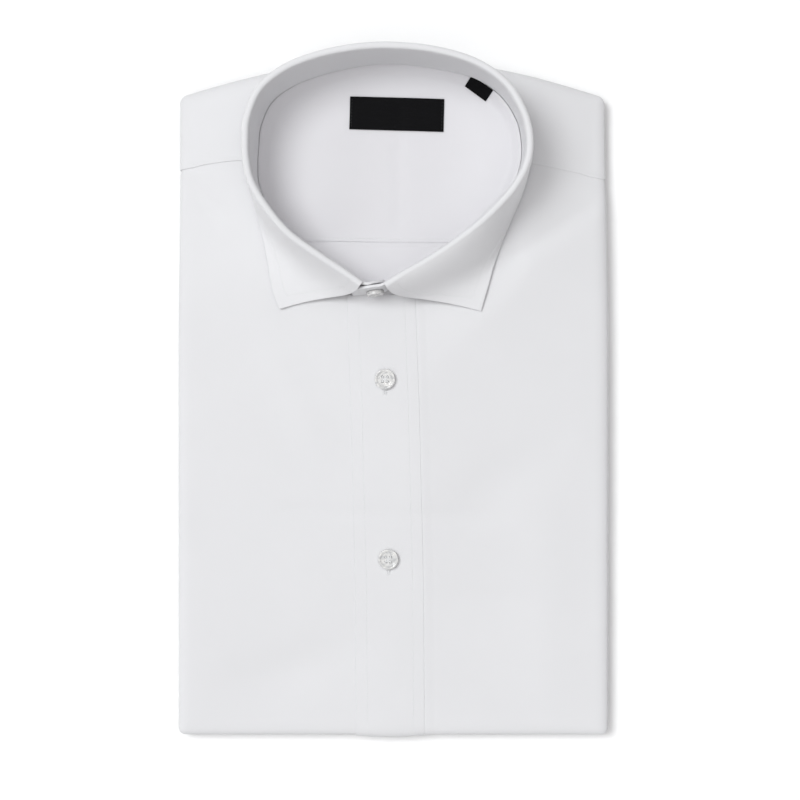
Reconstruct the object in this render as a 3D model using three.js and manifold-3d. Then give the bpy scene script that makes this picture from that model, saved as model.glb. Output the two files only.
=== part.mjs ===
// A men's oxford shirt, folded for the shelf: front up, collar open, sleeves and tail folded under.
// Millimetres. X runs across the shirt, +Y towards the collar, +Z up. The origin is the middle of the
// shirt's footprint, on the surface that it lies on.

import * as THREE from 'three';
import Module from 'manifold-3d';
import { mergeVertices } from 'three/addons/utils/BufferGeometryUtils.js';

const wasm = await Module();
wasm.setup();

// ---------------------------------------------------------------- driving dimensions

const SEAM_GAP = 0.3;             // between two pieces that are sewn together
const SHIRTING = 1.2;             // wall of a body panel: the cloth with its turnings
const INTERLINED = 1.5;           // wall of the collar, two cloths over an interlining

const BODY = {
  halfWidth: 117,                 // side fold to side fold is 234
  hem: -184.4,                    // the fold at the bottom
  shoulder: 162.5,                // the fold at the outer end of the shoulders
  neckRise: 22,                   // how much further up the fold is behind the neck
  riseShape: 1.6,                 // how that rise falls off towards the sides
  taperFrom: 20,                  // above this the outline rises and narrows
  taperLeft: 1.0,
  taperRight: 1.8,
  cornerRadius: 4,
};

// The pack's thickness: most at the chest, least along the sides and the hem, and level round the collar.
const CREST = {
  height: 22,
  hem: 13.5,
  side: 14,
  sideAtHem: 12.5,
  x: 8,                           // the crest runs along the placket's right edge
  reach: 200,                     // it comes up from the hem over this length
  plateau: 72,                    // half the width of the level part round the collar
  plateauTo: 75,                  // the height in plan where it has that width; it starts at 0
  ease: 0.12,                     // how round the crest is
};

// The cloth's fold around the pack: a crisp turn of 125 degrees that ends above the layers under it.
const FOLD = { reach: 9, run: 11.5, sweep: 125, lip: 4.3, crisp: 3 };

const PLACKET = { halfWidth: 18.5, lift: 0.55, hemBulge: 0.85, top: 53.5 };
const FRONT = { top: 124.5, join: 9 };        // join: how far under the placket the fronts meet
const BUTTON = { radius: 5.5, thick: 2.2, rim: 1.3, dish: 0.6, foot: 0.8, holeRadius: 0.8, holePitch: 1.35 };
const COLLAR_BUTTON_RADIUS = 4.75;
const MAIN_LABEL = { width: 51, height: 17.7, x: 1.9, y: 152.5, turn: -1.4, thick: 1 };
const SIZE_LABEL = { width: 12, height: 6, x: 44.9, y: 164.8, turn: -36, thick: 1 };

// Centre line of the placket, which leans a little from neck to hem.
const PLACKET_LINE = [
  { y: 54, x: -6.6 },
  { y: -5, x: -4.5 },
  { y: -110, x: -2.1 },
  { y: -200, x: -1.6 },
];

const BUTTONS = [
  { name: 'button_1', x: -4.4, y: 9.1 },
  { name: 'button_2', x: -2.7, y: -88.3 },
];

// Soft creases of the fronts: from (x1, y1) to (x2, y2), a ridge where the depth is negative.
const CREASES = [
  { x1: -116, y1: 120, x2: -92, y2: 96, width: 9, depth: 1.1 },
  { x1: 112, y1: 106, x2: 58, y2: 70, width: 10, depth: 1.0 },
  { x1: -60, y1: -62, x2: 62, y2: -66, width: 9, depth: 0.5 },
  { x1: -84, y1: -108, x2: -26, y2: -142, width: 15, depth: 0.6 },
  { x1: 30, y1: 22, x2: 84, y2: -40, width: 16, depth: 0.5 },
  { x1: -66, y1: 30, x2: -40, y2: -30, width: 18, depth: -0.4 },
];

// The collar from its left front edge, round the back of the neck, to its right front edge.
// fold: the inner edge of the collar's roll, its highest point. lean: how far the neck seam lies outside it.
const FOLD_LINE = [
  { foldX: -16.0, foldY: 60.9, foldZ: 48.0, lean: 3.4 },
  { foldX: -26.4, foldY: 68.2, foldZ: 49.2, lean: 3.4 },
  { foldX: -38.9, foldY: 76.4, foldZ: 51.0, lean: 3.2 },
  { foldX: -54.2, foldY: 87.5, foldZ: 53.5, lean: 2.6 },
  { foldX: -65.4, foldY: 100.5, foldZ: 56.0, lean: 1.2 },
  { foldX: -73.1, foldY: 113.5, foldZ: 58.0, lean: -0.8 },
  { foldX: -75.6, foldY: 124.0, foldZ: 59.2, lean: -2.4 },
  { foldX: -76.1, foldY: 134.4, foldZ: 60.2, lean: -3.4 },
  { foldX: -75.0, foldY: 146.4, foldZ: 61.0, lean: -3.6 },
  { foldX: -68.8, foldY: 160.4, foldZ: 62.0, lean: -3.8 },
  { foldX: -56.6, foldY: 170.4, foldZ: 62.8, lean: -4.2 },
  { foldX: -40.1, foldY: 177.0, foldZ: 63.4, lean: -4.2 },
  { foldX: -21.0, foldY: 180.9, foldZ: 63.9, lean: -3.6 },
  { foldX: -1.6, foldY: 182.0, foldZ: 64.1, lean: -2.8 },
  { foldX: 21.0, foldY: 179.9, foldZ: 63.8, lean: -3.0 },
  { foldX: 42.0, foldY: 173.9, foldZ: 63.1, lean: -1.8 },
  { foldX: 57.5, foldY: 163.6, foldZ: 62.0, lean: -0.9 },
  { foldX: 66.4, foldY: 150.0, foldZ: 60.9, lean: -0.3 },
  { foldX: 69.9, foldY: 137.0, foldZ: 60.0, lean: -0.7 },
  { foldX: 69.0, foldY: 124.6, foldZ: 59.0, lean: -0.4 },
  { foldX: 63.0, foldY: 112.4, foldZ: 57.5, lean: 0.8 },
  { foldX: 53.0, foldY: 100.9, foldZ: 55.5, lean: 1.6 },
  { foldX: 41.6, foldY: 90.4, foldZ: 53.5, lean: 2.2 },
  { foldX: 28.4, foldY: 80.6, foldZ: 51.2, lean: 2.6 },
  { foldX: 15.8, foldY: 72.6, foldZ: 49.8, lean: 2.8 },
  { foldX: 4.9, foldY: 66.5, foldZ: 48.6, lean: 2.8 },
  { foldX: -3.1, foldY: 61.9, foldZ: 48.0, lean: 2.8 },
];

// The leaf, row for row. edge: its outer edge. out, down: how it leaves the roll. land, lift: how it comes
// down to its edge; a long land lets a collar point lie flat.
const LEAF_EDGE = [
  { edgeX: -61.4, edgeY: 46.9, edgeZ: 22.5, out: 8, down: 17, land: 31, lift: 1.5 },
  { edgeX: -64.4, edgeY: 54.6, edgeZ: 23.2, out: 7, down: 17, land: 23.5, lift: 1 },
  { edgeX: -66.2, edgeY: 62.9, edgeZ: 23.3, out: 6, down: 18, land: 16, lift: 1 },
  { edgeX: -68.4, edgeY: 75.4, edgeZ: 23.3, out: 3, down: 19, land: 10, lift: 1 },
  { edgeX: -71.2, edgeY: 89.6, edgeZ: 23.3, out: 2, down: 20, land: 5.5, lift: 1.5 },
  { edgeX: -75.0, edgeY: 104.6, edgeZ: 23.3, out: 1.2, down: 20, land: 2.5, lift: 3 },
  { edgeX: -78.2, edgeY: 117.5, edgeZ: 23.3, out: 0.8, down: 16, land: 1.5, lift: 7 },
  { edgeX: -80.0, edgeY: 132.2, edgeZ: 23.2, out: 0.6, down: 12, land: 0.4, lift: 11 },
  { edgeX: -79.4, edgeY: 147.6, edgeZ: 23.0, out: 0.4, down: 12, land: 0.2, lift: 11 },
  { edgeX: -72.6, edgeY: 163.4, edgeZ: 22.6, out: 0.3, down: 12, land: 0.2, lift: 11 },
  { edgeX: -58.8, edgeY: 174.4, edgeZ: 22.2, out: 0.3, down: 12, land: 0.2, lift: 11 },
  { edgeX: -41.4, edgeY: 181.4, edgeZ: 21.9, out: 0.3, down: 12, land: 0.2, lift: 11 },
  { edgeX: -21.6, edgeY: 185.2, edgeZ: 21.6, out: 0.3, down: 12, land: 0.2, lift: 11 },
  { edgeX: -1.6, edgeY: 185.6, edgeZ: 21.5, out: 0.3, down: 12, land: 0.2, lift: 11 },
  { edgeX: 22.0, edgeY: 184.0, edgeZ: 21.6, out: 0.3, down: 12, land: 0.2, lift: 11 },
  { edgeX: 44.0, edgeY: 177.9, edgeZ: 22.0, out: 0.3, down: 12, land: 0.2, lift: 11 },
  { edgeX: 60.8, edgeY: 166.7, edgeZ: 22.6, out: 0.3, down: 12, land: 0.2, lift: 11 },
  { edgeX: 70.6, edgeY: 151.9, edgeZ: 23.0, out: 0.4, down: 12, land: 0.2, lift: 11 },
  { edgeX: 73.8, edgeY: 137.4, edgeZ: 23.2, out: 0.6, down: 12, land: 0.4, lift: 11 },
  { edgeX: 73.0, edgeY: 123.0, edgeZ: 23.3, out: 1.2, down: 12, land: 1, lift: 11 },
  { edgeX: 69.0, edgeY: 108.6, edgeZ: 23.3, out: 3, down: 12, land: 0.5, lift: 9 },
  { edgeX: 63.2, edgeY: 95.0, edgeZ: 23.3, out: 5, down: 10, land: 0.8, lift: 7 },
  { edgeX: 57.8, edgeY: 82.0, edgeZ: 23.3, out: 8, down: 8, land: 1, lift: 4 },
  { edgeX: 54.2, edgeY: 71.0, edgeZ: 23.4, out: 10, down: 7, land: 5.5, lift: 2 },
  { edgeX: 51.6, edgeY: 61.0, edgeZ: 23.4, out: 10, down: 6, land: 14.5, lift: 1 },
  { edgeX: 49.3, edgeY: 53.0, edgeZ: 23.6, out: 9, down: 6, land: 25, lift: 1 },
  { edgeX: 47.3, edgeY: 45.8, edgeZ: 22.8, out: 5, down: 12, land: 37.5, lift: 1.5 },
];
const COLLAR = FOLD_LINE.map((row, k) => ({ ...row, ...LEAF_EDGE[k] }));

// The stand's two ends go on past the leaf, and the wearer's left end lies over the right one.
const UNDER_END = [
  { foldX: -4.4, foldY: 62.9, foldZ: 47.6, lean: 3.4 },
  { foldX: -10.0, foldY: 61.7, foldZ: 47.7, lean: 3.4 },
];
const OVER_END = [
  { foldX: -9.6, foldY: 59.2, foldZ: 47.6, lean: 2.8 },
  { foldX: -16.4, foldY: 58.3, foldZ: 47.4, lean: 2.8 },
];

const ROLL = { radius: 1.2, standTop: 2.4 };   // the collar's roll over the top of the stand
const NECK_CENTRE = { x: -3, y: 122 };

// The floor of the neck: how high the inside of the shirt lies, from its middle (0) to the neck seam (1).
const NECK_FLOOR = [
  { from: 0, back: 18.2, front: 18.2 },
  { from: 0.3, back: 18.2, front: 18.2 },
  { from: 0.55, back: 18.4, front: 18.2 },
  { from: 0.75, back: 19.0, front: 18.3 },
  { from: 0.9, back: 19.8, front: 18.5 },
  { from: 1.0, back: 20.2, front: 18.7 },
];
const YOKE_SEAM_INSIDE = { left: 83.8, middle: 82.4, right: 82.6, halfSpan: 100 };

// Where the fronts meet the yoke, from the collar to the side.
const YOKE_SEAM_OUTSIDE = [
  { x: -117, y: 121.0 },
  { x: -104, y: 124.6 },
  { x: -88, y: 126.8 },
  { x: 0, y: 127.6 },
  { x: 76, y: 127.0 },
  { x: 104, y: 121.6 },
  { x: 117, y: 117.0 },
];

// The edges of the layers folded under, from the shirt's fold down to the surface.
const LAYERS = [
  { inset: 5.8, z: 5.6 },
  { inset: 5.8, z: 4.3 },
  { inset: 3.6, z: 4.0 },
  { inset: 2.8, z: 3.6 },
  { inset: 2.8, z: 2.8 },
  { inset: 3.4, z: 2.4 },
  { inset: 6.0, z: 2.2 },
  { inset: 6.0, z: 2.0 },
  { inset: 4.2, z: 1.8 },
  { inset: 3.7, z: 1.4 },
  { inset: 3.7, z: 0.5 },
  { inset: 4.4, z: 0 },
];

// ---------------------------------------------------------------- small helpers

const clamp01 = (t) => Math.min(1, Math.max(0, t));
const smooth = (t) => clamp01(t) ** 2 * (3 - 2 * clamp01(t));
const lerp = (a, b, t) => a + (b - a) * t;
const radians = (degrees) => degrees * Math.PI / 180;

// Reads a table as a curve: the value of one column where another column has the given value.
function along(table, key, at, value) {
  const rows = [...table].sort((a, b) => a[key] - b[key]);
  const next = rows.findIndex((row) => row[key] >= at);
  if (next === 0) return rows[0][value];
  if (next < 0) return rows[rows.length - 1][value];
  const [a, b] = [rows[next - 1], rows[next]];
  return lerp(a[value], b[value], (at - a[key]) / (b[key] - a[key]));
}

// A smooth curve through all the columns of a table, read at a row number that may lie between two rows.
function between(table, at) {
  const last = table.length - 1;
  const row = Math.min(last - 1, Math.max(0, Math.floor(at)));
  const t = at - row;
  const [a, b, c, d] = [-1, 0, 1, 2].map((step) => table[Math.min(last, Math.max(0, row + step))]);
  const result = {};
  for (const key of Object.keys(b)) {
    const bend = (2 * a[key] - 5 * b[key] + 4 * c[key] - d[key]) * t * t;
    const twist = (3 * b[key] - a[key] - 3 * c[key] + d[key]) * t * t * t;
    result[key] = 0.5 * (2 * b[key] + (c[key] - a[key]) * t + bend + twist);
  }
  return result;
}

// ---------------------------------------------------------------- the folded body's surface

const FLAT_X = BODY.halfWidth - FOLD.reach;
const BODY_MIDDLE = (BODY.shoulder + BODY.hem) / 2;
const FLAT_Y = (BODY.shoulder - BODY.hem) / 2 - FOLD.reach;
const FOLD_END = FOLD.run * FOLD.sweep / 90;
const CORNER_ZONE = 20;

// Near a corner, cloth from both directions shares the turn, so distances along the edge close up.
function shareCorner(at, flat, beyond, reach) {
  const inner = flat - CORNER_ZONE;
  const past = Math.abs(at) - inner;
  if (past <= 0) return at;
  return Math.sign(at) * (inner + past * (CORNER_ZONE + reach) / (CORNER_ZONE + beyond));
}

// The place in plan of cloth point (p, q), with the pack's rounded corners and its real outline.
function planPoint(p, q, beyond, reach) {
  let x = shareCorner(p, FLAT_X, beyond, reach);
  let y = shareCorner(q, FLAT_Y, beyond, reach);
  const radius = BODY.cornerRadius * clamp01(beyond / FOLD.run);
  const s = (Math.abs(x) - (FLAT_X + reach - radius)) / radius;
  const t = (Math.abs(y) - (FLAT_Y + reach - radius)) / radius;
  if (radius > 0 && s > 0 && t > 0) {
    x = Math.sign(x) * (FLAT_X + reach - radius + radius * s * Math.sqrt(1 - t * t / 2));
    y = Math.sign(y) * (FLAT_Y + reach - radius + radius * t * Math.sqrt(1 - s * s / 2));
  }
  y += BODY_MIDDLE;
  const upper = clamp01((y - BODY.taperFrom) / (BODY.shoulder - BODY.taperFrom));
  const narrow = (x > 0 ? BODY.taperRight : BODY.taperLeft) * smooth(upper);
  const rise = BODY.neckRise * (1 - Math.min(1, Math.abs(x) / BODY.halfWidth) ** BODY.riseShape);
  return { x: x * (1 - narrow / BODY.halfWidth), y: y + rise * upper * upper };
}

function creaseDepth(x, y) {
  let depth = 0;
  for (const crease of CREASES) {
    const [dx, dy] = [crease.x2 - crease.x1, crease.y2 - crease.y1];
    const length = Math.hypot(dx, dy);
    const run = ((x - crease.x1) * dx + (y - crease.y1) * dy) / length;
    const off = ((x - crease.x1) * dy - (y - crease.y1) * dx) / length;
    const ends = smooth((run + crease.width) / (2 * crease.width))
      * smooth((length + crease.width - run) / (2 * crease.width));
    depth += crease.depth * ends * Math.exp(-((off / crease.width) ** 2) * 4);
  }
  return depth;
}

// How far the creases sink the cloth at (p, q); they fade out where the cloth turns over the edge.
function creaseSink(p, q) {
  const beyond = Math.max(Math.abs(p) - FLAT_X, Math.abs(q) - FLAT_Y, 0);
  const { x, y } = planPoint(p, q, beyond, FOLD.reach * Math.sin(beyond / FOLD.run * Math.PI / 2));
  return creaseDepth(x, y) * smooth(1 - clamp01(beyond / FOLD.run));
}

// How thick the pack is at a place in plan, before its creases.
function packHeight(x, y) {
  const rise = smooth((y - BODY.hem) / CREST.reach);
  const crest = lerp(CREST.hem, CREST.height, rise);
  const side = lerp(CREST.sideAtHem, CREST.side, rise);
  const level = smooth(y / CREST.plateauTo);
  const middle = CREST.x * (1 - level);
  const halfSpan = BODY.halfWidth - Math.sign(x - middle) * middle;
  const out = clamp01((Math.abs(x - middle) - CREST.plateau * level) / (halfSpan - CREST.plateau * level));
  const share = (Math.hypot(out, CREST.ease) - CREST.ease) / (Math.hypot(1, CREST.ease) - CREST.ease);
  return lerp(crest, side, share);
}

// How far down a crisp fold has come after some turn: 0 on top, 1 at its widest and 2 after half a turn.
function edgeDrop(turn) {
  const height = (1 - Math.abs(Math.sin(turn)) ** FOLD.crisp) ** (1 / FOLD.crisp);
  return 1 - Math.sign(Math.cos(turn)) * height;
}

// The outside of the cloth at (p, q), distances over the cloth from the middle of the pack.
function bodyPoint(p, q) {
  const beyond = Math.max(Math.abs(p) - FLAT_X, Math.abs(q) - FLAT_Y, 0);
  const turn = beyond / FOLD.run * Math.PI / 2;
  const { x, y } = planPoint(p, q, beyond, FOLD.reach * Math.sin(turn));
  const top = packHeight(x, y) - creaseSink(p, q);
  return new THREE.Vector3(x, y, top - (top - FOLD.lip) * edgeDrop(turn) / edgeDrop(radians(FOLD.sweep)));
}

// The same point moved out from the cloth by some lift, or in where that is negative.
function liftedPoint(p, q, lift) {
  const step = 0.4;
  const alongP = bodyPoint(p + step, q).sub(bodyPoint(p - step, q));
  const alongQ = bodyPoint(p, q + step).sub(bodyPoint(p, q - step));
  const normal = alongP.cross(alongQ).normalize();
  return bodyPoint(p, q).addScaledVector(normal, lift);
}

// The cloth point that lies at a place in plan, on the pack's upper side, found step by step.
const SEARCH = { rounds: 30, pace: 0.7, lastRun: 0.8 };

function clothAt(x, y) {
  const [lastP, lastQ] = [FLAT_X + SEARCH.lastRun * FOLD.run, FLAT_Y + SEARCH.lastRun * FOLD.run];
  let [p, q] = [x, y - BODY_MIDDLE];
  for (let round = 0; round < SEARCH.rounds; round += 1) {
    const here = bodyPoint(p, q);
    p = THREE.MathUtils.clamp(p + SEARCH.pace * (x - here.x), -lastP, lastP);
    q = THREE.MathUtils.clamp(q + SEARCH.pace * (y - here.y), -lastQ, lastQ);
  }
  return { p, q };
}

function surfaceHeight(x, y) {
  const { p, q } = clothAt(x, y);
  return bodyPoint(p, q).z;
}

// ---------------------------------------------------------------- closed solids

function closedGeometry(points, faces) {
  let volume = 0;
  for (const [a, b, c] of faces) {
    volume += points[a].dot(new THREE.Vector3().crossVectors(points[b], points[c]));
  }
  const outward = volume > 0 ? faces : faces.map(([a, b, c]) => [a, c, b]);
  const geometry = new THREE.BufferGeometry();
  geometry.setAttribute('position', new THREE.Float32BufferAttribute(points.flatMap((v) => v.toArray()), 3));
  geometry.setIndex(outward.flat());
  return geometry;
}

const quad = (a, b, c, d) => [[a, b, c], [a, c, d]];

// A wall of cloth over a grid: skin(i, j, 1) is its outside and skin(i, j, 0) its inside.
function clothWall(columns, rows, skin) {
  const points = [];
  const faces = [];
  const id = (side, i, j) => (side * (columns + 1) + i) * (rows + 1) + j;
  for (const side of [0, 1]) {
    for (let i = 0; i <= columns; i += 1) {
      for (let j = 0; j <= rows; j += 1) points.push(skin(i, j, side));
    }
  }
  const edge = (a, b) => faces.push(...quad(id(1, ...b), id(1, ...a), id(0, ...a), id(0, ...b)));
  for (let i = 0; i < columns; i += 1) {
    for (let j = 0; j < rows; j += 1) {
      const corners = [[i, j], [i + 1, j], [i + 1, j + 1], [i, j + 1]];
      faces.push(...quad(...corners.map((corner) => id(1, ...corner))));
      faces.push(...quad(...corners.map((corner) => id(0, ...corner)).reverse()));
    }
    edge([i, 0], [i + 1, 0]);
    edge([i + 1, rows], [i, rows]);
  }
  for (let j = 0; j < rows; j += 1) {
    edge([0, j + 1], [0, j]);
    edge([columns, j], [columns, j + 1]);
  }
  return closedGeometry(points, faces);
}

// A solid from rings of equally many points, closed at both ends around a middle point.
function ringSolid(rings, firstMiddle, lastMiddle) {
  const count = rings[0].length;
  const points = [...rings.flat(), firstMiddle, lastMiddle];
  const faces = [];
  for (let k = 0; k < count; k += 1) {
    const next = (k + 1) % count;
    for (let r = 0; r < rings.length - 1; r += 1) {
      faces.push(...quad(r * count + k, r * count + next, (r + 1) * count + next, (r + 1) * count + k));
    }
    const last = (rings.length - 1) * count;
    faces.push([rings.length * count, next, k]);
    faces.push([rings.length * count + 1, last + k, last + next]);
  }
  return closedGeometry(points, faces);
}

function toManifold(geometry) {
  const bare = geometry.clone();
  bare.deleteAttribute('normal');
  bare.deleteAttribute('uv');
  const merged = mergeVertices(bare, 1e-4);
  const mesh = new wasm.Mesh({
    numProp: 3,
    vertProperties: new Float32Array(merged.attributes.position.array),
    triVerts: new Uint32Array(merged.index.array),
  });
  return new wasm.Manifold(mesh);
}

function fromManifold(solid) {
  const mesh = solid.getMesh();
  const geometry = new THREE.BufferGeometry();
  geometry.setAttribute('position', new THREE.Float32BufferAttribute(mesh.vertProperties, 3));
  geometry.setIndex(new THREE.Uint32BufferAttribute(mesh.triVerts, 1));
  return geometry;
}

const without = (geometry, cutter) => fromManifold(toManifold(geometry).subtract(toManifold(cutter)));
const within = (geometry, keeper) => fromManifold(toManifold(geometry).intersect(toManifold(keeper)));

function upright(outline, low, high) {
  const shape = new THREE.Shape(outline.map(({ x, y }) => new THREE.Vector2(x, y)));
  return new THREE.ExtrudeGeometry(shape, { depth: high - low, bevelEnabled: false }).translate(0, 0, low);
}

// ---------------------------------------------------------------- body panels

const FOLD_STEPS = [1, 0.86, 0.72, 0.58, 0.44, 0.3, 0.15, 0];
const FRONT_COLUMNS = 7;
const FRONT_ROWS = 19;
const seamHeight = (x) => along(YOKE_SEAM_OUTSIDE, 'x', x, 'y');
const placketMiddle = (y) => along(PLACKET_LINE, 'y', y, 'x');

// Where a seam at a height in plan crosses cloth column p.
function seamRow(p, offset) {
  const x = Math.sign(p) * Math.min(Math.abs(p), FLAT_X);
  return clothAt(x, seamHeight(x) + offset).q;
}

const panelSkin = (p, q, face) => liftedPoint(p, q, face ? 0 : -SHIRTING);

// A front, from its side fold (side -1 or 1) to the join under the placket, and from hem to yoke.
function frontPanel(side) {
  const columns = FOLD_STEPS.length - 1 + FRONT_COLUMNS;
  const rows = FOLD_STEPS.length - 1 + FRONT_ROWS;
  const lastFold = FOLD_STEPS.length - 1;
  return clothWall(columns, rows, (i, j, face) => {
    const upShare = Math.max(0, (j - lastFold) / FRONT_ROWS);
    const height = lerp(BODY.hem + FOLD.reach, FRONT.top, upShare);
    const join = placketMiddle(height) - PLACKET.halfWidth + FRONT.join + side * SEAM_GAP / 2;
    const acrossShare = Math.max(0, (i - lastFold) / FRONT_COLUMNS);
    const folded = side * (FLAT_X + FOLD_STEPS[i] * FOLD_END);
    const p = i < lastFold ? folded : lerp(side * FLAT_X, join, acrossShare);
    const q = j < lastFold ? -FLAT_Y - FOLD_STEPS[j] * FOLD_END : lerp(-FLAT_Y, seamRow(p, 0), upShare);
    return panelSkin(p, q, face);
  });
}

const YOKE_COLUMNS = 20;
const YOKE_ROWS = 4;

// The yoke's outer layer, from its seam on the fronts over the shoulder fold.
function yokePanel() {
  const folds = FOLD_STEPS.length - 1;
  return clothWall(YOKE_COLUMNS + 2 * folds, YOKE_ROWS + folds, (i, j, face) => {
    let p = lerp(-FLAT_X, FLAT_X, (i - folds) / YOKE_COLUMNS);
    if (i < folds) p = -FLAT_X - FOLD_STEPS[i] * FOLD_END;
    if (i > folds + YOKE_COLUMNS) p = FLAT_X + FOLD_STEPS[YOKE_COLUMNS + 2 * folds - i] * FOLD_END;
    const q = j <= YOKE_ROWS
      ? lerp(seamRow(p, SEAM_GAP), FLAT_Y, j / YOKE_ROWS)
      : FLAT_Y + FOLD_STEPS[YOKE_ROWS + folds - j] * FOLD_END;
    return panelSkin(p, q, face);
  });
}

// The placket band lies on the fronts, made from their points and moved out.
function placketBand() {
  const across = 4;
  const up = 26;
  const folds = FOLD_STEPS.length - 1;
  return clothWall(across, up + folds, (i, j, face) => {
    const upShare = Math.max(0, (j - folds) / up);
    const top = clothAt(placketMiddle(PLACKET.top), PLACKET.top).q;
    const q = j < folds ? -FLAT_Y - FOLD_STEPS[j] * FOLD_END : lerp(-FLAT_Y, top, upShare);
    const height = lerp(BODY.hem, PLACKET.top, upShare);
    const p = placketMiddle(height) + lerp(-1, 1, i / across) * PLACKET.halfWidth;
    const hemward = smooth((-FLAT_Y + 12 - q) / 24);
    const lift = PLACKET.lift + PLACKET.hemBulge * hemward * Math.sin(Math.PI * i / across);
    return liftedPoint(p, q, face ? lift + SHIRTING : lift);
  });
}

// ---------------------------------------------------------------- collar

// The outward direction in plan at a place along a table of the collar.
function outward(table, at) {
  const step = 0.2;
  const before = between(table, Math.max(0, at - step));
  const after = between(table, Math.min(table.length - 1, at + step));
  const ahead = new THREE.Vector2(after.foldX - before.foldX, after.foldY - before.foldY).normalize();
  return new THREE.Vector2(-ahead.y, ahead.x);
}

const STAND = [...UNDER_END, ...FOLD_LINE, ...OVER_END];
const STAND_COLUMNS = 60;
const STAND_ROWS = 3;

// The middle of the stand's wall: up is 0 at the neck seam and 1 at its top.
function standPoint(at, up) {
  const row = between(STAND, at);
  const out = outward(STAND, at);
  const lean = lerp(INTERLINED / 2 + row.lean, INTERLINED / 2, up);
  const [x, y] = [row.foldX + out.x * lean, row.foldY + out.y * lean];
  const seam = standPlace(at, row.lean + INTERLINED / 2);
  const low = surfaceHeight(seam.x, seam.y) + SEAM_GAP + 0.1;
  return new THREE.Vector3(x, y, lerp(low, row.foldZ - ROLL.standTop, up));
}

function standPlace(at, off) {
  const row = between(STAND, at);
  const out = outward(STAND, at);
  return { x: row.foldX + out.x * off, y: row.foldY + out.y * off };
}

function collarStand() {
  return clothWall(STAND_COLUMNS, STAND_ROWS, (i, j, face) => {
    const at = i / STAND_COLUMNS * (STAND.length - 1);
    const up = j / STAND_ROWS;
    const out = outward(STAND, at);
    const offset = (face ? 0.5 : -0.5) * INTERLINED;
    return standPoint(at, up).add(new THREE.Vector3(out.x * offset, out.y * offset, 0));
  });
}

// The middle of the leaf's wall: first over the roll, then down to the leaf's edge.
const ROLL_STEPS = 4;
const FALL_STEPS = 7;

function leafPoint(at, step) {
  const row = between(COLLAR, at);
  const out = outward(COLLAR, at);
  const place = (off, z) => new THREE.Vector3(row.foldX + out.x * off, row.foldY + out.y * off, z);
  const rollTop = row.foldZ - INTERLINED / 2;
  const rollMiddle = rollTop - ROLL.radius;
  const rollOff = INTERLINED / 2 + ROLL.radius;
  if (step <= ROLL_STEPS) {
    const turn = Math.PI * step / ROLL_STEPS;
    return place(rollOff - ROLL.radius * Math.cos(turn), rollMiddle + ROLL.radius * Math.sin(turn));
  }
  const t = (step - ROLL_STEPS) / FALL_STEPS;
  const edge = new THREE.Vector3(row.edgeX, row.edgeY, row.edgeZ);
  const start = place(rollOff + ROLL.radius, rollMiddle);
  const towardFold = new THREE.Vector3(row.foldX - row.edgeX, row.foldY - row.edgeY, 0).normalize();
  const leave = place(rollOff + ROLL.radius + row.out, rollMiddle - row.down);
  const arrive = edge.clone().addScaledVector(towardFold, row.land).add(new THREE.Vector3(0, 0, row.lift));
  return new THREE.CubicBezierCurve3(start, leave, arrive, edge).getPoint(t);
}

const LEAF_COLUMNS = 52;

function collarLeaf() {
  const last = COLLAR.length - 1;
  return clothWall(LEAF_COLUMNS, ROLL_STEPS + FALL_STEPS, (i, j, face) => {
    const at = i / LEAF_COLUMNS * last;
    const [back, ahead] = [Math.max(0, at - 0.1), Math.min(last, at + 0.1)];
    const up = Math.max(0, j - 0.3);
    const down = Math.min(ROLL_STEPS + FALL_STEPS, j + 0.3);
    const acrossLeaf = leafPoint(at, down).sub(leafPoint(at, up));
    const roundNeck = leafPoint(ahead, j).sub(leafPoint(back, j));
    const normal = acrossLeaf.cross(roundNeck).normalize();
    return leafPoint(at, j).addScaledVector(normal, (face ? -0.5 : 0.5) * INTERLINED);
  });
}

// ---------------------------------------------------------------- inside the neck

const NECK_POINTS = 56;

// The neck seam in plan, once round, under the middle of the stand's wall.
function neckSeam() {
  const seam = [];
  for (let k = 0; k < NECK_POINTS; k += 1) {
    const at = lerp(1, COLLAR.length - 2, k / (NECK_POINTS - 1));
    const row = between(COLLAR, at);
    const out = outward(COLLAR, at);
    const off = INTERLINED / 2 + row.lean;
    seam.push({ x: row.foldX + out.x * off, y: row.foldY + out.y * off });
  }
  const front = standPlace(STAND.length - 2, OVER_END[0].lean + INTERLINED / 2);
  seam.push({ x: lerp(front.x, seam[NECK_POINTS - 1].x, 0.5), y: front.y + 1.2 });
  seam.push(front, { x: front.x - 7, y: front.y + 0.8 });
  return seam;
}

// A point of the neck's floor: reach 0 is its middle and 1 is the neck seam.
function floorPoint(seamPoint, reach, lift) {
  const x = lerp(NECK_CENTRE.x, seamPoint.x, reach);
  const y = lerp(NECK_CENTRE.y, seamPoint.y, reach);
  const backShare = smooth((seamPoint.y - 70) / 50);
  const [front, back] = ['front', 'back'].map((name) => along(NECK_FLOOR, 'from', reach, name));
  const own = lerp(front, back, backShare);
  const underPanel = surfaceHeight(x, y) - SHIRTING - SEAM_GAP;
  return new THREE.Vector3(x, y, Math.min(own, underPanel) + lift);
}

const FLOOR_RINGS = [0.3, 0.55, 0.75, 0.9, 0.985];

function floorSolid(thickness, lift, spread) {
  const seam = neckSeam();
  const top = FLOOR_RINGS.map((reach) => seam.map((point) => floorPoint(point, reach * spread, lift)));
  const bottom = top.map((ring) => ring.map((point) => point.clone().setZ(point.z - thickness))).reverse();
  const middle = (drop) => floorPoint(NECK_CENTRE, 0, lift).setZ(NECK_FLOOR[0].back + lift - drop);
  return ringSolid([...top, ...bottom], middle(0), middle(thickness));
}

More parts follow.
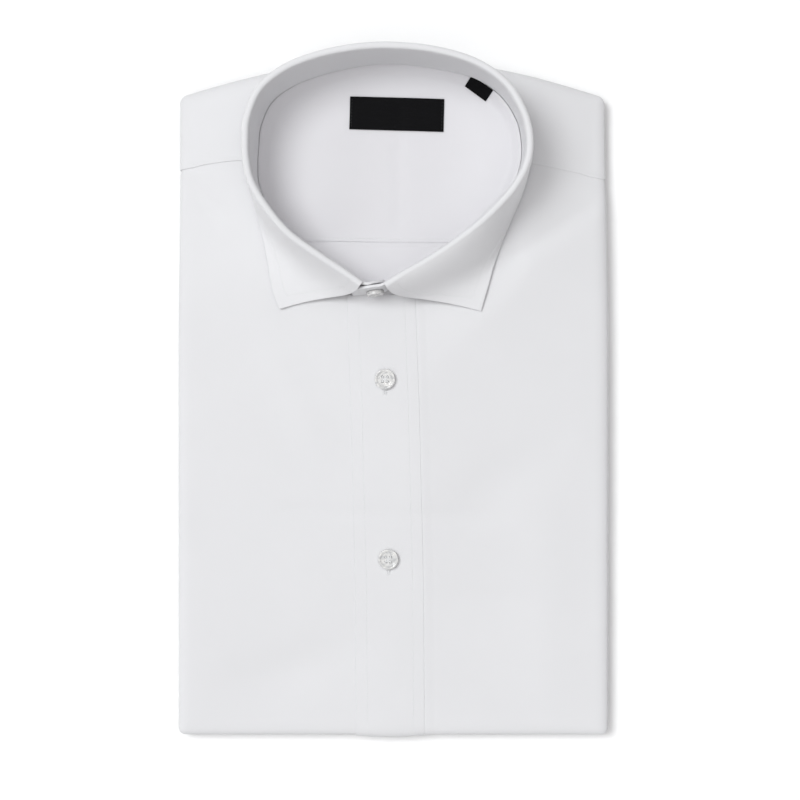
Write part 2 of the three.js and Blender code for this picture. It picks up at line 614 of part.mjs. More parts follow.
// The floor is cut along the seam between yoke and back; upper says which side is kept.
function floorPart(upper) {
  const { left, middle, right, halfSpan } = YOKE_SEAM_INSIDE;
  const offset = (upper ? 0.5 : -0.5) * SEAM_GAP;
  const line = [-1, -0.5, 0, 0.5, 1].map((share) => ({
    x: share * halfSpan,
    y: lerp(share < 0 ? left : right, middle, 1 - Math.abs(share)) + offset,
  }));
  const far = upper ? 250 : -50;
  const keep = upright([...line, { x: halfSpan, y: far }, { x: -halfSpan, y: far }], 0, 60);
  return within(floorSolid(SHIRTING, 0, 1), keep);
}

// A label lies on the neck's floor, made from its points and moved out.
function label({ width, height, x, y, turn, thick }) {
  const [columns, rows] = [8, 3];
  const seam = neckSeam();
  const cos = Math.cos(radians(turn));
  const sin = Math.sin(radians(turn));
  return clothWall(columns, rows, (i, j, face) => {
    const [u, v] = [(i / columns - 0.5) * width, (j / rows - 0.5) * height];
    const place = { x: x + u * cos - v * sin, y: y + u * sin + v * cos };
    return new THREE.Vector3(place.x, place.y, floorHeight(seam, place) + SEAM_GAP + (face ? thick : 0));
  });
}

// The floor's height at a place in plan, read along the ray from the neck's centre through it.
function floorHeight(seam, { x, y }) {
  const angle = Math.atan2(y - NECK_CENTRE.y, x - NECK_CENTRE.x);
  const turnTo = (point) => {
    const off = Math.atan2(point.y - NECK_CENTRE.y, point.x - NECK_CENTRE.x) - angle;
    return Math.abs(Math.atan2(Math.sin(off), Math.cos(off)));
  };
  const nearest = seam.reduce((best, point) => (turnTo(point) < turnTo(best) ? point : best));
  const span = Math.hypot(nearest.x - NECK_CENTRE.x, nearest.y - NECK_CENTRE.y);
  return floorPoint(nearest, Math.hypot(x - NECK_CENTRE.x, y - NECK_CENTRE.y) / span, 0).z;
}

// ---------------------------------------------------------------- layers folded under

const CREASE_ROOM = 1.4;          // the layers lie this far under the fronts, clear of their creases
const TURN_ROOM = 0.5;            // and this far inside the cloth where it turns over the edge
const POCKET = { gap: 0.5, height: 12, spread: 1.03 };   // the hollow in them that holds the neck's floor
const SIDE_SHARES = [-1, -0.985, -0.96, -0.92, -0.84, -0.6, -0.3, 0, 0.3, 0.6, 0.84, 0.92, 0.96, 0.985];
const CAP_SHARES = [0.15, 0.3, 0.45, 0.6, 0.75, 0.9, 1];

// Once round a square of half-size 1, closer together at the corners.
const SQUARE = [
  ...SIDE_SHARES.map((share) => [share, -1]),
  ...SIDE_SHARES.map((share) => [1, share]),
  ...SIDE_SHARES.map((share) => [-share, 1]),
  ...SIDE_SHARES.map((share) => [-1, -share]),
];

function foldedLayers() {
  const under = (a, b, beyond) => {
    const [p, q] = [a * (FLAT_X + beyond), b * (FLAT_Y + beyond)];
    const room = CREASE_ROOM * smooth(1 - clamp01(beyond / FOLD.run)) - creaseSink(p, q);
    const point = liftedPoint(p, q, -(SHIRTING + SEAM_GAP + TURN_ROOM * smooth(beyond / FOLD.run)));
    return point.setZ(point.z - room);
  };
  const cap = CAP_SHARES.map((share) => SQUARE.map(([a, b]) => under(a * share, b * share, 0)));
  const folds = [...FOLD_STEPS].reverse().filter((share) => share > 0 && share < 0.9);
  const turn = folds.map((share) => SQUARE.map(([a, b]) => under(a, b, share * FOLD_END)));
  const edges = LAYERS.map(({ inset, z }) => SQUARE.map(([a, b]) => {
    const [p, q] = [a * (FLAT_X + FOLD.run), b * (FLAT_Y + FOLD.run)];
    const { x, y } = planPoint(p, q, FOLD.run, FOLD.reach - inset);
    return new THREE.Vector3(x, y, z);
  }));
  const solid = ringSolid([...cap, ...turn, ...edges],
    under(0, 0, 0), new THREE.Vector3(0, BODY_MIDDLE, 0));
  const pocket = floorSolid(SHIRTING + POCKET.gap + POCKET.height, POCKET.height, POCKET.spread);
  return without(solid, pocket);
}

// ---------------------------------------------------------------- buttons

// A four-hole button with a raised rim and a shallow dish, its underside at z 0.
function buttonGeometry(radius) {
  const { thick, rim, dish, foot, holeRadius, holePitch } = BUTTON;
  const outline = [
    [0, 0], [radius * foot, 0], [radius, thick * 0.4], [radius, thick * 0.7], [radius - rim / 3, thick],
    [radius - rim, thick], [radius - rim - dish, thick - dish], [0, thick - dish],
  ].map(([r, z]) => new THREE.Vector2(r, z));
  const disc = new THREE.LatheGeometry(outline, 24).rotateX(Math.PI / 2);
  let button = toManifold(disc);
  for (const [a, b] of [[1, 1], [1, -1], [-1, 1], [-1, -1]]) {
    const hole = new THREE.CylinderGeometry(holeRadius, holeRadius, 4 * thick, 8).rotateX(Math.PI / 2);
    button = button.subtract(toManifold(hole.translate(a * holePitch, b * holePitch, 0)));
  }
  return fromManifold(button);
}

function seatButton(geometry, place, direction) {
  const turn = new THREE.Quaternion().setFromUnitVectors(new THREE.Vector3(0, 0, 1), direction);
  return geometry.applyQuaternion(turn).translate(place.x, place.y, place.z);
}

function frontButton(x, y) {
  const { p, q } = clothAt(x, y);
  const top = PLACKET.lift + SHIRTING + SEAM_GAP;
  const place = liftedPoint(p, q, top);
  const direction = liftedPoint(p, q, top + 5).sub(place).normalize();
  return seatButton(buttonGeometry(BUTTON.radius), place, direction);
}

// The collar button sits on the outside of the stand's upper end.
function collarButton() {
  const at = STAND.length - 1.9;
  const out = outward(STAND, at);
  const low = standPoint(at, 0.2);
  const high = standPoint(at, 0.8);
  const across = new THREE.Vector3(out.y, -out.x, 0);
  const direction = high.clone().sub(low).cross(across).normalize();
  if (direction.y > 0) direction.negate();
  const place = standPoint(at, 0.47).addScaledVector(direction, INTERLINED / 2 + SEAM_GAP + 0.05);
  return seatButton(buttonGeometry(COLLAR_BUTTON_RADIUS), place, direction);
}

// ---------------------------------------------------------------- the shirt

const cloth = (color) => new THREE.MeshStandardMaterial({ color, roughness: 0.95, metalness: 0 });
const OXFORD = cloth(0xe6e8ea);
const LABEL = new THREE.MeshStandardMaterial({ color: 0x161618, roughness: 0.8, metalness: 0 });
const PEARL = new THREE.MeshStandardMaterial({ color: 0xf0efec, roughness: 0.25, metalness: 0 });

const shirt = new THREE.Group();

function add(name, geometry, material) {
  const mesh = new THREE.Mesh(geometry, material);
  mesh.name = name;
  shirt.add(mesh);
}

const neckHole = upright(neckSeam(), 10, 60);

add('front_right', without(frontPanel(-1), neckHole), OXFORD);
add('front_left', without(frontPanel(1), neckHole), OXFORD);
add('placket', placketBand(), OXFORD);
add('yoke_outer', without(yokePanel(), neckHole), OXFORD);
add('yoke_inner', floorPart(true), OXFORD);
add('back_inner', floorPart(false), OXFORD);
add('collar_stand', collarStand(), OXFORD);
add('collar_leaf', collarLeaf(), OXFORD);
add('folded_layers', foldedLayers(), OXFORD);
add('label_main', label(MAIN_LABEL), LABEL);
add('label_size', label(SIZE_LABEL), LABEL);
add('button_collar', collarButton(), PEARL);
for (const { name, x, y } of BUTTONS) add(name, frontButton(x, y), PEARL);

export default shirt;
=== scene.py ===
# %% [markdown]
# # A folded oxford shirt
# This lesson dresses the rigid model of a men's shirt that lies folded on a table. The model brings the
# sizes; here every piece of cloth becomes a thin shell, with its stitching, buttons and labels.

# %% Load the frame
import math

import bpy
import numpy as np
from mathutils import Matrix, Vector


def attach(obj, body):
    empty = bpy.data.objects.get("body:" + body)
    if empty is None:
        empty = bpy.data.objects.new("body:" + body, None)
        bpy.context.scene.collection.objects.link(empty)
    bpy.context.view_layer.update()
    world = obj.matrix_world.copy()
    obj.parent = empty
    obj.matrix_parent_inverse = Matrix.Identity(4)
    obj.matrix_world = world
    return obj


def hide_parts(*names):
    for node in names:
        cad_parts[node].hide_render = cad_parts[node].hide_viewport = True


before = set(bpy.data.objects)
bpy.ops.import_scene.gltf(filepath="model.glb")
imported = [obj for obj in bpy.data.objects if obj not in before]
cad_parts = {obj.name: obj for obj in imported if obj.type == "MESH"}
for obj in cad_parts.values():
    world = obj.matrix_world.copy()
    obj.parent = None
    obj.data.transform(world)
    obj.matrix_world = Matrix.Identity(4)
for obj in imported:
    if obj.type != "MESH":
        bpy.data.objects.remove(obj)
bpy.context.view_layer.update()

bpy.ops.object.select_all(action="DESELECT")

# %% [markdown]
# ## Sizes
# A tailor works in millimetres, so the sizes below do too, and one factor turns them to Blender's metres.
# The pack is 234 mm wide; its cloth turns over the edge in a soft elliptical fold.

# %% Sizes of the folded pack
MM = 0.001
SEAM_GAP = 0.3
SHIRTING = 0.9            # what shows of a panel's edge: the cloth and its turning
COLLAR_CLOTH = 1.4        # two cloths with an interlining between them
BODY = {"half_width": 117.0, "hem": -184.4, "shoulder": 162.5, "neck_rise": 22.0, "corner": 4.0}
FOLD = {"reach": 9.0, "run": 11.5, "sweep": 125.0, "lip": 4.3, "crisp": 3.0}
CREST = {"height": 22.0, "hem": 13.5, "side": 14.0, "side_at_hem": 12.5, "x": 13.0, "reach": 200.0,
         "plateau": 72.0, "plateau_to": 75.0, "ease": 0.07}
FLAT_X = BODY["half_width"] - FOLD["reach"]
MIDDLE = (BODY["shoulder"] + BODY["hem"]) / 2
FLAT_Y = (BODY["shoulder"] - BODY["hem"]) / 2 - FOLD["reach"]
FOLD_END = FOLD["run"] * FOLD["sweep"] / 90
CORNER_ZONE = 20.0
NO_SEAM = 99.0            # "distance from a seam" where there is none
# Past these the cloth turns down too steeply to be found from above.
LAST_X = FLAT_X + 0.8 * FOLD["run"]
LAST_Y = FLAT_Y + 0.8 * FOLD["run"]

# %% Small helpers


def deselect():
    bpy.ops.object.select_all(action="DESELECT")


def edit_mode():
    bpy.ops.object.mode_set(mode="EDIT")


def object_mode():
    bpy.ops.object.mode_set(mode="OBJECT")


def smooth(t):
    """0 below 0, 1 above 1, and a soft step between."""
    t = np.clip(t, 0, 1)
    return t * t * (3 - 2 * t)


def column(rows, name):
    return np.array([row[name] for row in rows], float)


def unit(v):
    return v / np.maximum(np.linalg.norm(v, axis=-1, keepdims=True), 1e-12)


# %% [markdown]
# ## The pack's surface
# Cloth keeps its length when it folds. So a place on the shirt is named by p and q, distances over the
# cloth from the middle of the pack, and one function says where such a place lies. Past the flat part
# the cloth turns over the edge by 125 degrees and ends above the layers folded under.

# %% Creases of the fronts
# Soft troughs, and ridges where the depth is negative: no two are alike in length, width or depth.
CREASES = [
    {"x1": -116, "y1": 120, "x2": -92, "y2": 96, "width": 10, "depth": 1.4},
    {"x1": 112, "y1": 106, "x2": 58, "y2": 70, "width": 12, "depth": 1.3},
    {"x1": -60, "y1": -62, "x2": 62, "y2": -66, "width": 9, "depth": 0.6},
    {"x1": -90, "y1": -160, "x2": -26, "y2": -140, "width": 30, "depth": 2.7},
    {"x1": 34, "y1": -66, "x2": 88, "y2": -22, "width": 28, "depth": 1.3},
    {"x1": 82, "y1": -60, "x2": 86, "y2": -166, "width": 30, "depth": -1.0},
    {"x1": 22, "y1": -108, "x2": 74, "y2": -112, "width": 15, "depth": 0.7},
    {"x1": -66, "y1": 30, "x2": -40, "y2": -30, "width": 18, "depth": -0.6},
]


def crease_depth(x, y):
    depth = np.zeros_like(x)
    for c in CREASES:
        dx, dy = c["x2"] - c["x1"], c["y2"] - c["y1"]
        length = math.hypot(dx, dy)
        run = ((x - c["x1"]) * dx + (y - c["y1"]) * dy) / length
        off = ((x - c["x1"]) * dy - (y - c["y1"]) * dx) / length
        ends = smooth(run / c["width"] / 2 + 0.5) * smooth((length - run) / c["width"] / 2 + 0.5)
        depth += c["depth"] * ends * np.exp(-((off / c["width"]) ** 2) * 4)
    return depth


# %% The surface itself


def share_corner(at, flat, beyond, reach):
    """Near a corner both turns share the cloth, so distances along the edge close up."""
    inner = flat - CORNER_ZONE
    past = np.abs(at) - inner
    moved = np.sign(at) * (inner + past * (CORNER_ZONE + reach) / (CORNER_ZONE + beyond))
    return np.where(past <= 0, at, moved)


def plan(p, q, beyond, reach):
    """The place in plan of cloth point (p, q), with rounded corners and the pack's real outline."""
    x = share_corner(p, FLAT_X, beyond, reach)
    y = share_corner(q, FLAT_Y, beyond, reach)
    radius = np.maximum(BODY["corner"] * np.clip(beyond / FOLD["run"], 0, 1), 1e-6)
    s = np.clip((np.abs(x) - (FLAT_X + reach - radius)) / radius, 0, 1)
    t = np.clip((np.abs(y) - (FLAT_Y + reach - radius)) / radius, 0, 1)
    corner = (s > 0) & (t > 0) & (beyond > 0)
    x = np.where(corner, np.sign(x) * (FLAT_X + reach - radius + radius * s * np.sqrt(1 - t * t / 2)), x)
    y = np.where(corner, np.sign(y) * (FLAT_Y + reach - radius + radius * t * np.sqrt(1 - s * s / 2)), y)
    y = y + MIDDLE
    upper = np.clip((y - 20) / (BODY["shoulder"] - 20), 0, 1)
    narrow = np.where(x > 0, 1.8 * smooth(upper), smooth(upper * 1.3))
    rise = BODY["neck_rise"] * (1 - np.minimum(1, np.abs(x) / BODY["half_width"]) ** 1.6)
    return x * (1 - narrow / BODY["half_width"]), y + rise * upper * upper


def pack_height(x, y):
    """The pack is thick at the chest and thin at its sides and hem, and level round the collar."""
    rise = smooth((y - BODY["hem"]) / CREST["reach"])
    crest = CREST["hem"] + (CREST["height"] - CREST["hem"]) * rise
    side = CREST["side_at_hem"] + (CREST["side"] - CREST["side_at_hem"]) * rise
    plateau = CREST["plateau"] * smooth(y / CREST["plateau_to"])
    off = x - CREST["x"] * (1 - plateau / CREST["plateau"])
    edge = BODY["half_width"] - np.sign(off) * (x - off)
    out = np.clip((np.abs(off) - plateau) / (edge - plateau), 0, 1)
    ease = CREST["ease"]
    share = (np.sqrt(out * out + ease * ease) - ease) / (math.sqrt(1 + ease * ease) - ease)
    return crest - (crest - side) * share


def edge_drop(turn):
    """How far down a crisp fold has come after some turn: 0 on top, 1 at its widest, 2 at half a turn."""
    crisp = FOLD["crisp"]
    return 1 - np.sign(np.cos(turn)) * (1 - np.abs(np.sin(turn)) ** crisp) ** (1 / crisp)


def shoulder_settle(x, y):
    """The stacked shoulders aren't even: the right one has sunk at its edge, the left one is fuller."""
    outer = np.clip((np.abs(x) - 78) / 30, 0, 1) * smooth((y - 95) / 35)
    return outer * np.where(x > 0, 3.2, -2.1)


def body(p, q):
    """The outside of the cloth at (p, q)."""
    p, q = np.broadcast_arrays(np.asarray(p, float), np.asarray(q, float))
    beyond = np.maximum(np.maximum(np.abs(p) - FLAT_X, np.abs(q) - FLAT_Y), 0)
    turn = beyond / FOLD["run"] * math.pi / 2
    x, y = plan(p, q, beyond, FOLD["reach"] * np.sin(turn))
    calm = smooth(1 - np.clip(beyond / FOLD["run"], 0, 1))
    top = pack_height(x, y) - shoulder_settle(x, y) - crease_depth(x, y) * calm
    drop = edge_drop(turn) / edge_drop(math.radians(FOLD["sweep"]))
    return np.stack([x, y, top - (top - FOLD["lip"]) * drop], -1)


def lifted(p, q, lift):
    """The same place moved out from the cloth."""
    step = 0.4
    along_p = body(p + step, q) - body(p - step, q)
    along_q = body(p, q + step) - body(p, q - step)
    normal = unit(np.cross(along_p, along_q))
    return body(p, q) + normal * np.asarray(lift)[..., None]


def cloth_at(x, y):
    """The cloth point that lies at a place in plan, on the pack's upper side."""
    x, y = np.broadcast_arrays(np.asarray(x, float), np.asarray(y, float))
    p, q = x.copy(), y - MIDDLE
    for _ in range(30):
        here = body(p, q)
        p = np.clip(p + 0.7 * (x - here[..., 0]), -LAST_X, LAST_X)
        q = np.clip(q + 0.7 * (y - here[..., 1]), -LAST_Y, LAST_Y)
    return p, q


def surface_height(x, y):
    return body(*cloth_at(x, y))[..., 2]


# %% [markdown]
# ## From a grid to a shell
# A panel starts as a grid primitive. Each of its points is moved to its place on the shirt, and its UV
# map keeps the place on the flat cloth, in metres, so a weave follows the thread. Solidify gives the
# shell its thickness and a small bevel rounds the cut edges.

# %% Shell makers


def flat_grid(name, us, vs, place):
    """A grid primitive moved into place: place(u, v) gives points in mm and cloth coordinates in mm."""
    deselect()
    bpy.ops.mesh.primitive_grid_add(x_subdivisions=len(us) - 1, y_subdivisions=len(vs) - 1, size=1)
    piece = bpy.context.object
    piece.name = name
    mesh = piece.data
    mesh.name = name
    co = np.empty(len(mesh.vertices) * 3)
    mesh.vertices.foreach_get("co", co)
    co = co.reshape(-1, 3)
    i = np.rint((co[:, 0] + 0.5) * (len(us) - 1)).astype(int)
    j = np.rint((co[:, 1] + 0.5) * (len(vs) - 1)).astype(int)
    points, cloth, seam = place(np.asarray(us, float)[i], np.asarray(vs, float)[j])
    mesh.vertices.foreach_set("co", (points * MM).ravel())
    loops = np.empty(len(mesh.loops), np.int32)
    mesh.loops.foreach_get("vertex_index", loops)
    mesh.uv_layers.active.name = "cloth"
    mesh.uv_layers.active.data.foreach_set("uv", (cloth[loops] * MM).ravel())
    layer = mesh.attributes.new("from_seam", "FLOAT", "POINT")
    layer.data.foreach_set("value", np.asarray(seam, np.float32))
    mesh.update()
    return piece


def apply(piece, kind, **settings):
    """Adds a modifier with its settings and applies it."""
    bpy.context.view_layer.objects.active = piece
    modifier = piece.modifiers.new(kind.lower(), kind)
    for key, value in settings.items():
        setattr(modifier, key, value)
    bpy.ops.object.modifier_apply(modifier=modifier.name)


def shell(piece, thickness, outside, rounding=0.22, offset=-1):
    """Gives a sheet its thickness: offset -1 puts it inside the sheet and 0 on both sides of it."""
    mesh = piece.data
    normals = np.empty(len(mesh.polygons) * 3)
    centres = np.empty(len(mesh.polygons) * 3)
    mesh.polygons.foreach_get("normal", normals)
    mesh.polygons.foreach_get("center", centres)
    if (normals.reshape(-1, 3) * outside(centres.reshape(-1, 3) / MM)).sum() < 0:
        mesh.flip_normals()
    apply(piece, "SOLIDIFY", thickness=thickness * MM, offset=offset, use_even_offset=False)
    if rounding:
        apply(piece, "BEVEL", width=rounding * MM, segments=2, limit_method="ANGLE",
              angle_limit=math.radians(50))
    return piece


def soften(piece, angle=42):
    deselect()
    piece.select_set(True)
    bpy.context.view_layer.objects.active = piece
    bpy.ops.object.shade_smooth_by_angle(angle=math.radians(angle))


def close_edit():
    """Turns all faces outwards and leaves edit mode."""
    bpy.ops.mesh.select_all(action="SELECT")
    bpy.ops.mesh.normals_make_consistent(inside=False)
    object_mode()


def up(centres):
    return np.tile([0.0, 0.0, 1.0], (len(centres), 1))


# %% [markdown]
# ## Finishes
# Oxford cloth is a basket weave: two fine warp threads run together over one thicker weft thread. That
# gives white cloth a faint grain, and no shine but a soft sheen at glancing angles. Each finish below is
# named for the real one, and its pattern is worked out from the spacing of its threads. The cloth inside
# the neck is the same oxford, with painted shade in its tint.

# %% Colour and node helpers


def colour(code):
    """An sRGB hex value as the linear colour that a shader reads."""
    channels = [int(code[i:i + 2], 16) / 255 for i in (1, 3, 5)]
    linear = [c / 12.92 if c <= 0.04045 else ((c + 0.055) / 1.055) ** 2.4 for c in channels]
    return (*linear, 1.0)


def set_inputs(made, values):
    for key, value in values.items():
        made.inputs[key].default_value = value


def node(tree, kind, links=(), values=(), **settings):
    """Adds a node: settings are its properties, values its inputs, links (input, source socket)."""
    made = tree.nodes.new(kind)
    for key, value in settings.items():
        setattr(made, key, value)
    set_inputs(made, dict(values))
    for key, socket in links:
        tree.links.new(socket, made.inputs[key])
    return made


def new_material(name):
    material = bpy.data.materials.new(name)
    material.use_nodes = True
    tree = material.node_tree
    shader = tree.nodes["Principled BSDF"]
    return material, tree, shader


def bump(tree, height, strength, distance, links=()):
    """A relief: height is a socket from 0 to 1, distance its depth in mm."""
    made = node(tree, "ShaderNodeBump", [("Height", height), *links],
                {"Strength": strength, "Distance": distance * MM})
    return made.outputs["Normal"]


def two_tones(tree, shader, share, low, high):
    """A base colour that runs from low to high with a share from 0 to 1."""
    tone = node(tree, "ShaderNodeMix", [("Factor", share)], {6: low, 7: high}, data_type="RGBA")
    tree.links.new(tone.outputs[2], shader.inputs["Base Color"])


# %% Woven cotton


def cotton(name, tint, pitch, depth, seam_depth):
    """White cotton of a thread pitch in mm, with its weave and the dent of its seams as bump."""
    material, tree, shader = new_material(name)
    uv = node(tree, "ShaderNodeUVMap", uv_map="cloth").outputs["UV"]
    weave = node(tree, "ShaderNodeTexBrick", [("Vector", uv)],
                 {"Scale": 1 / (pitch * MM), "Mortar Size": 0.12, "Mortar Smooth": 1.0,
                  "Brick Width": 1.6, "Row Height": 1.0,
                  "Color1": (1, 1, 1, 1), "Color2": (0.8, 0.8, 0.8, 1), "Mortar": (0, 0, 0, 1)})
    slub = node(tree, "ShaderNodeTexNoise", [("Vector", uv)], {"Scale": 900.0, "Detail": 2.0})
    cloud = node(tree, "ShaderNodeTexNoise", [("Vector", uv)], {"Scale": 22.0, "Detail": 3.0})
    thread = node(tree, "ShaderNodeMix", [(2, weave.outputs["Color"]), (3, slub.outputs["Fac"])],
                  {"Factor": 0.35}, data_type="FLOAT")
    lower, higher = (tuple(c * k for c in colour(tint)[:3]) + (1.0,) for k in (0.972, 1.012))
    two_tones(tree, shader, cloud.outputs["Fac"], lower, higher)
    seam = node(tree, "ShaderNodeAttribute", attribute_name="from_seam").outputs["Fac"]
    away = node(tree, "ShaderNodeMath", [(0, seam)], operation="ABSOLUTE")
    groove = node(tree, "ShaderNodeMapRange", [("Value", away.outputs[0])],
                  {"From Min": 0.0, "From Max": 0.9}, interpolation_type="SMOOTHERSTEP")
    dent = bump(tree, groove.outputs["Result"], 1.0, seam_depth)
    grain = bump(tree, thread.outputs[0], 0.5, depth, [("Normal", dent)])
    tree.links.new(grain, shader.inputs["Normal"])
    set_inputs(shader, {"Roughness": 0.86, "Sheen Weight": 0.12, "Sheen Roughness": 0.5,
                        "Specular IOR Level": 0.25})
    return material


OXFORD = cotton("cotton_oxford_basket_weave", "#e0e0e2", pitch=0.55, depth=0.10, seam_depth=0.02)
# The inside of the neck is the same white oxford as the outside; its tint is a little darker and cooler:
# painted shade for the deep well inside the collar.
INSIDE_OXFORD_PAINTED_SHADE = cotton("cotton_oxford_inside_painted_shade", "#dddcdf", pitch=0.55, depth=0.10, seam_depth=0.05)
COLLAR_COTTON = cotton("cotton_oxford_over_interlining", "#e1e1e3", pitch=0.55, depth=0.08,
                       seam_depth=0.05)

# %% Sewing thread, label satin and button pearl


def thread_finish(name, tint):
    """Spun polyester sewing thread: two plies twisted together, a little glossier than the cloth."""
    material, tree, shader = new_material(name)
    place = node(tree, "ShaderNodeTexCoord").outputs["Object"]
    ply = node(tree, "ShaderNodeTexWave", [("Vector", place)], {"Scale": 900.0, "Distortion": 1.0},
               bands_direction="DIAGONAL")
    tree.links.new(bump(tree, ply.outputs["Fac"], 0.4, 0.04), shader.inputs["Normal"])
    set_inputs(shader, {"Base Color": colour(tint), "Roughness": 0.6})
    return material


def satin_label_finish():
    """Black woven satin: fine ribs across the tape, and a soft gloss along them."""
    material, tree, shader = new_material("polyester_satin_label")
    uv = node(tree, "ShaderNodeUVMap", uv_map="cloth").outputs["UV"]
    ribs = node(tree, "ShaderNodeTexWave", [("Vector", uv)],
                {"Scale": 1 / (0.9 * MM) / 6.3, "Distortion": 0.4}, bands_direction="Y")
    fuzz = node(tree, "ShaderNodeTexNoise", [("Vector", uv)], {"Scale": 1500.0, "Detail": 2.0})
    two_tones(tree, shader, fuzz.outputs["Fac"], colour("#09090a"), colour("#131315"))
    tree.links.new(bump(tree, ribs.outputs["Fac"], 0.5, 0.05), shader.inputs["Normal"])
    set_inputs(shader, {"Roughness": 0.7, "Specular IOR Level": 0.06})
    return material


def pearl_finish():
    """Cast polyester like shell: glossy and half clear, with swirls of grey and milky white."""
    material, tree, shader = new_material("cast_polyester_pearl")
    place = node(tree, "ShaderNodeTexCoord").outputs["Object"]
    swirl = node(tree, "ShaderNodeTexNoise", [("Vector", place)],
                 {"Scale": 210.0, "Detail": 2.0, "Roughness": 0.45, "Distortion": 2.6})
    band = node(tree, "ShaderNodeMapRange", [("Value", swirl.outputs["Fac"])],
                {"From Min": 0.34, "From Max": 0.62})
    two_tones(tree, shader, band.outputs["Result"], colour("#cdcecf"), colour("#f2f1ef"))
    set_inputs(shader, {"Roughness": 0.14, "IOR": 1.56, "Transmission Weight": 0.18,
                        "Subsurface Weight": 0.2, "Subsurface Radius": (0.002, 0.002, 0.002)})
    return material


THREAD = thread_finish("white_polyester_thread", "#dfe0e1")
BLACK_THREAD = thread_finish("black_polyester_thread", "#161618")
SATIN = satin_label_finish()
PEARL = pearl_finish()


def dress(piece, material, slot, *nodes):
    """Finishes a piece: its material, its body and the solids that it stands for. The slot is not used."""
    piece.data.materials.clear()
    piece.data.materials.append(material)
    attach(piece, "root")
    if nodes:
        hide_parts(*nodes)
    print(piece.name, len(piece.data.polygons), "faces")


# %% [markdown]
# ## Sewing
# A lockstitch shows as a row of short threads, each pulled down into the cloth at its ends. One stretched
# sphere is such a thread. It is modelled once, placed again and again along a row, and the row is joined.
# Real stitches are 2.3 mm long and 0.25 mm thick; these are a little thicker, so that they show.

# %% Stitches
STITCH = {"pitch": 2.3, "length": 1.9, "radius": 0.14}
bpy.ops.mesh.primitive_uv_sphere_add(segments=8, ring_count=6, radius=1.0)
THREAD_MODEL = bpy.context.object
edit_mode()
bpy.ops.transform.rotate(value=math.pi / 2, orient_axis="Y", center_override=(0, 0, 0))
object_mode()


def strand(start, end, radius):
    """One thread from start to end, in mm."""
    start, end = Vector(start), Vector(end)
    turn = (end - start).to_track_quat("X", "Z").to_matrix().to_4x4()
    size = Matrix.Diagonal(((end - start).length / 2 * MM, radius * MM, radius * MM, 1))
    made = bpy.data.objects.new("strand", THREAD_MODEL.data)
    bpy.context.collection.objects.link(made)
    made.matrix_world = Matrix.Translation((start + end) / 2 * MM) @ turn @ size
    return made


def stitch_row(path, pitch=STITCH["pitch"]):
    """Stitches end to end along a path of points in mm."""
    path = np.asarray(path)
    along = np.concatenate([[0], np.cumsum(np.linalg.norm(np.diff(path, axis=0), axis=1))])
    count = max(1, int(along[-1] / pitch))
    half = STITCH["length"] / STITCH["pitch"] * along[-1] / count / 2
    strands = []
    for middle in (np.arange(count) + 0.5) * along[-1] / count:
        ends = [[np.interp(middle + side * half, along, path[:, k]) for k in range(3)] for side in (-1, 1)]
        strands.append(strand(*ends, STITCH["radius"]))
    return strands


def sew(name, slot, strands, material=THREAD):
    """Joins strands to one piece of sewing."""
    strands[0].data = strands[0].data.copy()
    deselect()
    for one in strands:
        one.select_set(True)
    bpy.context.view_layer.objects.active = strands[0]
    bpy.ops.object.join()
    piece = bpy.context.object
    bpy.ops.object.transform_apply(location=True, rotation=True, scale=True)
    piece.name = name
    piece.data.name = name
    soften(piece, 60)
    dress(piece, material, slot)
    print(name, len(strands), "stitches")


# %% [markdown]
# ## The collar's line
# A shirt collar is two pieces: a stand round the neck and a leaf that turns down over it. One table says
# how both run round the neck, from the left front to the right front. It is not quite even, because a
# collar pressed by hand and stood open on a table never is.

# %% Collar table

def table(names, rows):
    """Rows of values as dictionaries with the given names."""
    return [dict(zip(names, row)) for row in rows]


# The fold is the inner edge of the roll; lean says how far the neck seam lies outside it.
FOLD_NAMES = ("fold_x", "fold_y", "fold_z", "lean")
FOLD_LINE = table(FOLD_NAMES, [
    (-16.0, 60.9, 48.0, 3.4),
    (-26.4, 68.2, 49.2, 3.4),
    (-38.9, 76.4, 51.0, 3.2),
    (-54.2, 87.5, 53.5, 2.6),
    (-65.4, 100.5, 56.0, 1.2),
    (-73.1, 113.5, 58.0, -0.8),
    (-75.6, 124.0, 59.2, -2.4),
    (-76.1, 134.4, 60.2, -3.4),
    (-75.0, 146.4, 61.0, -3.6),
    (-68.8, 160.4, 62.0, -3.8),
    (-56.6, 170.4, 62.8, -4.2),
    (-40.1, 177.0, 63.4, -4.2),
    (-21.0, 180.9, 63.9, -3.6),
    (-1.6, 182.0, 64.1, -2.8),
    (21.0, 179.9, 63.8, -3.0),
    (42.0, 173.9, 63.1, -1.8),
    (57.5, 163.6, 62.0, -0.9),
    (66.4, 150.0, 60.9, -0.3),
    (69.9, 137.0, 60.0, -0.7),
    (69.0, 124.6, 59.0, -0.4),
    (63.0, 112.4, 57.5, 0.8),
    (53.0, 100.9, 55.5, 1.6),
    (41.6, 90.4, 53.5, 2.2),
    (28.4, 80.6, 51.2, 2.6),
    (15.8, 72.6, 49.8, 2.8),
    (4.9, 66.5, 48.6, 2.8),
    (-5.2, 60.3, 48.0, 2.8),
])
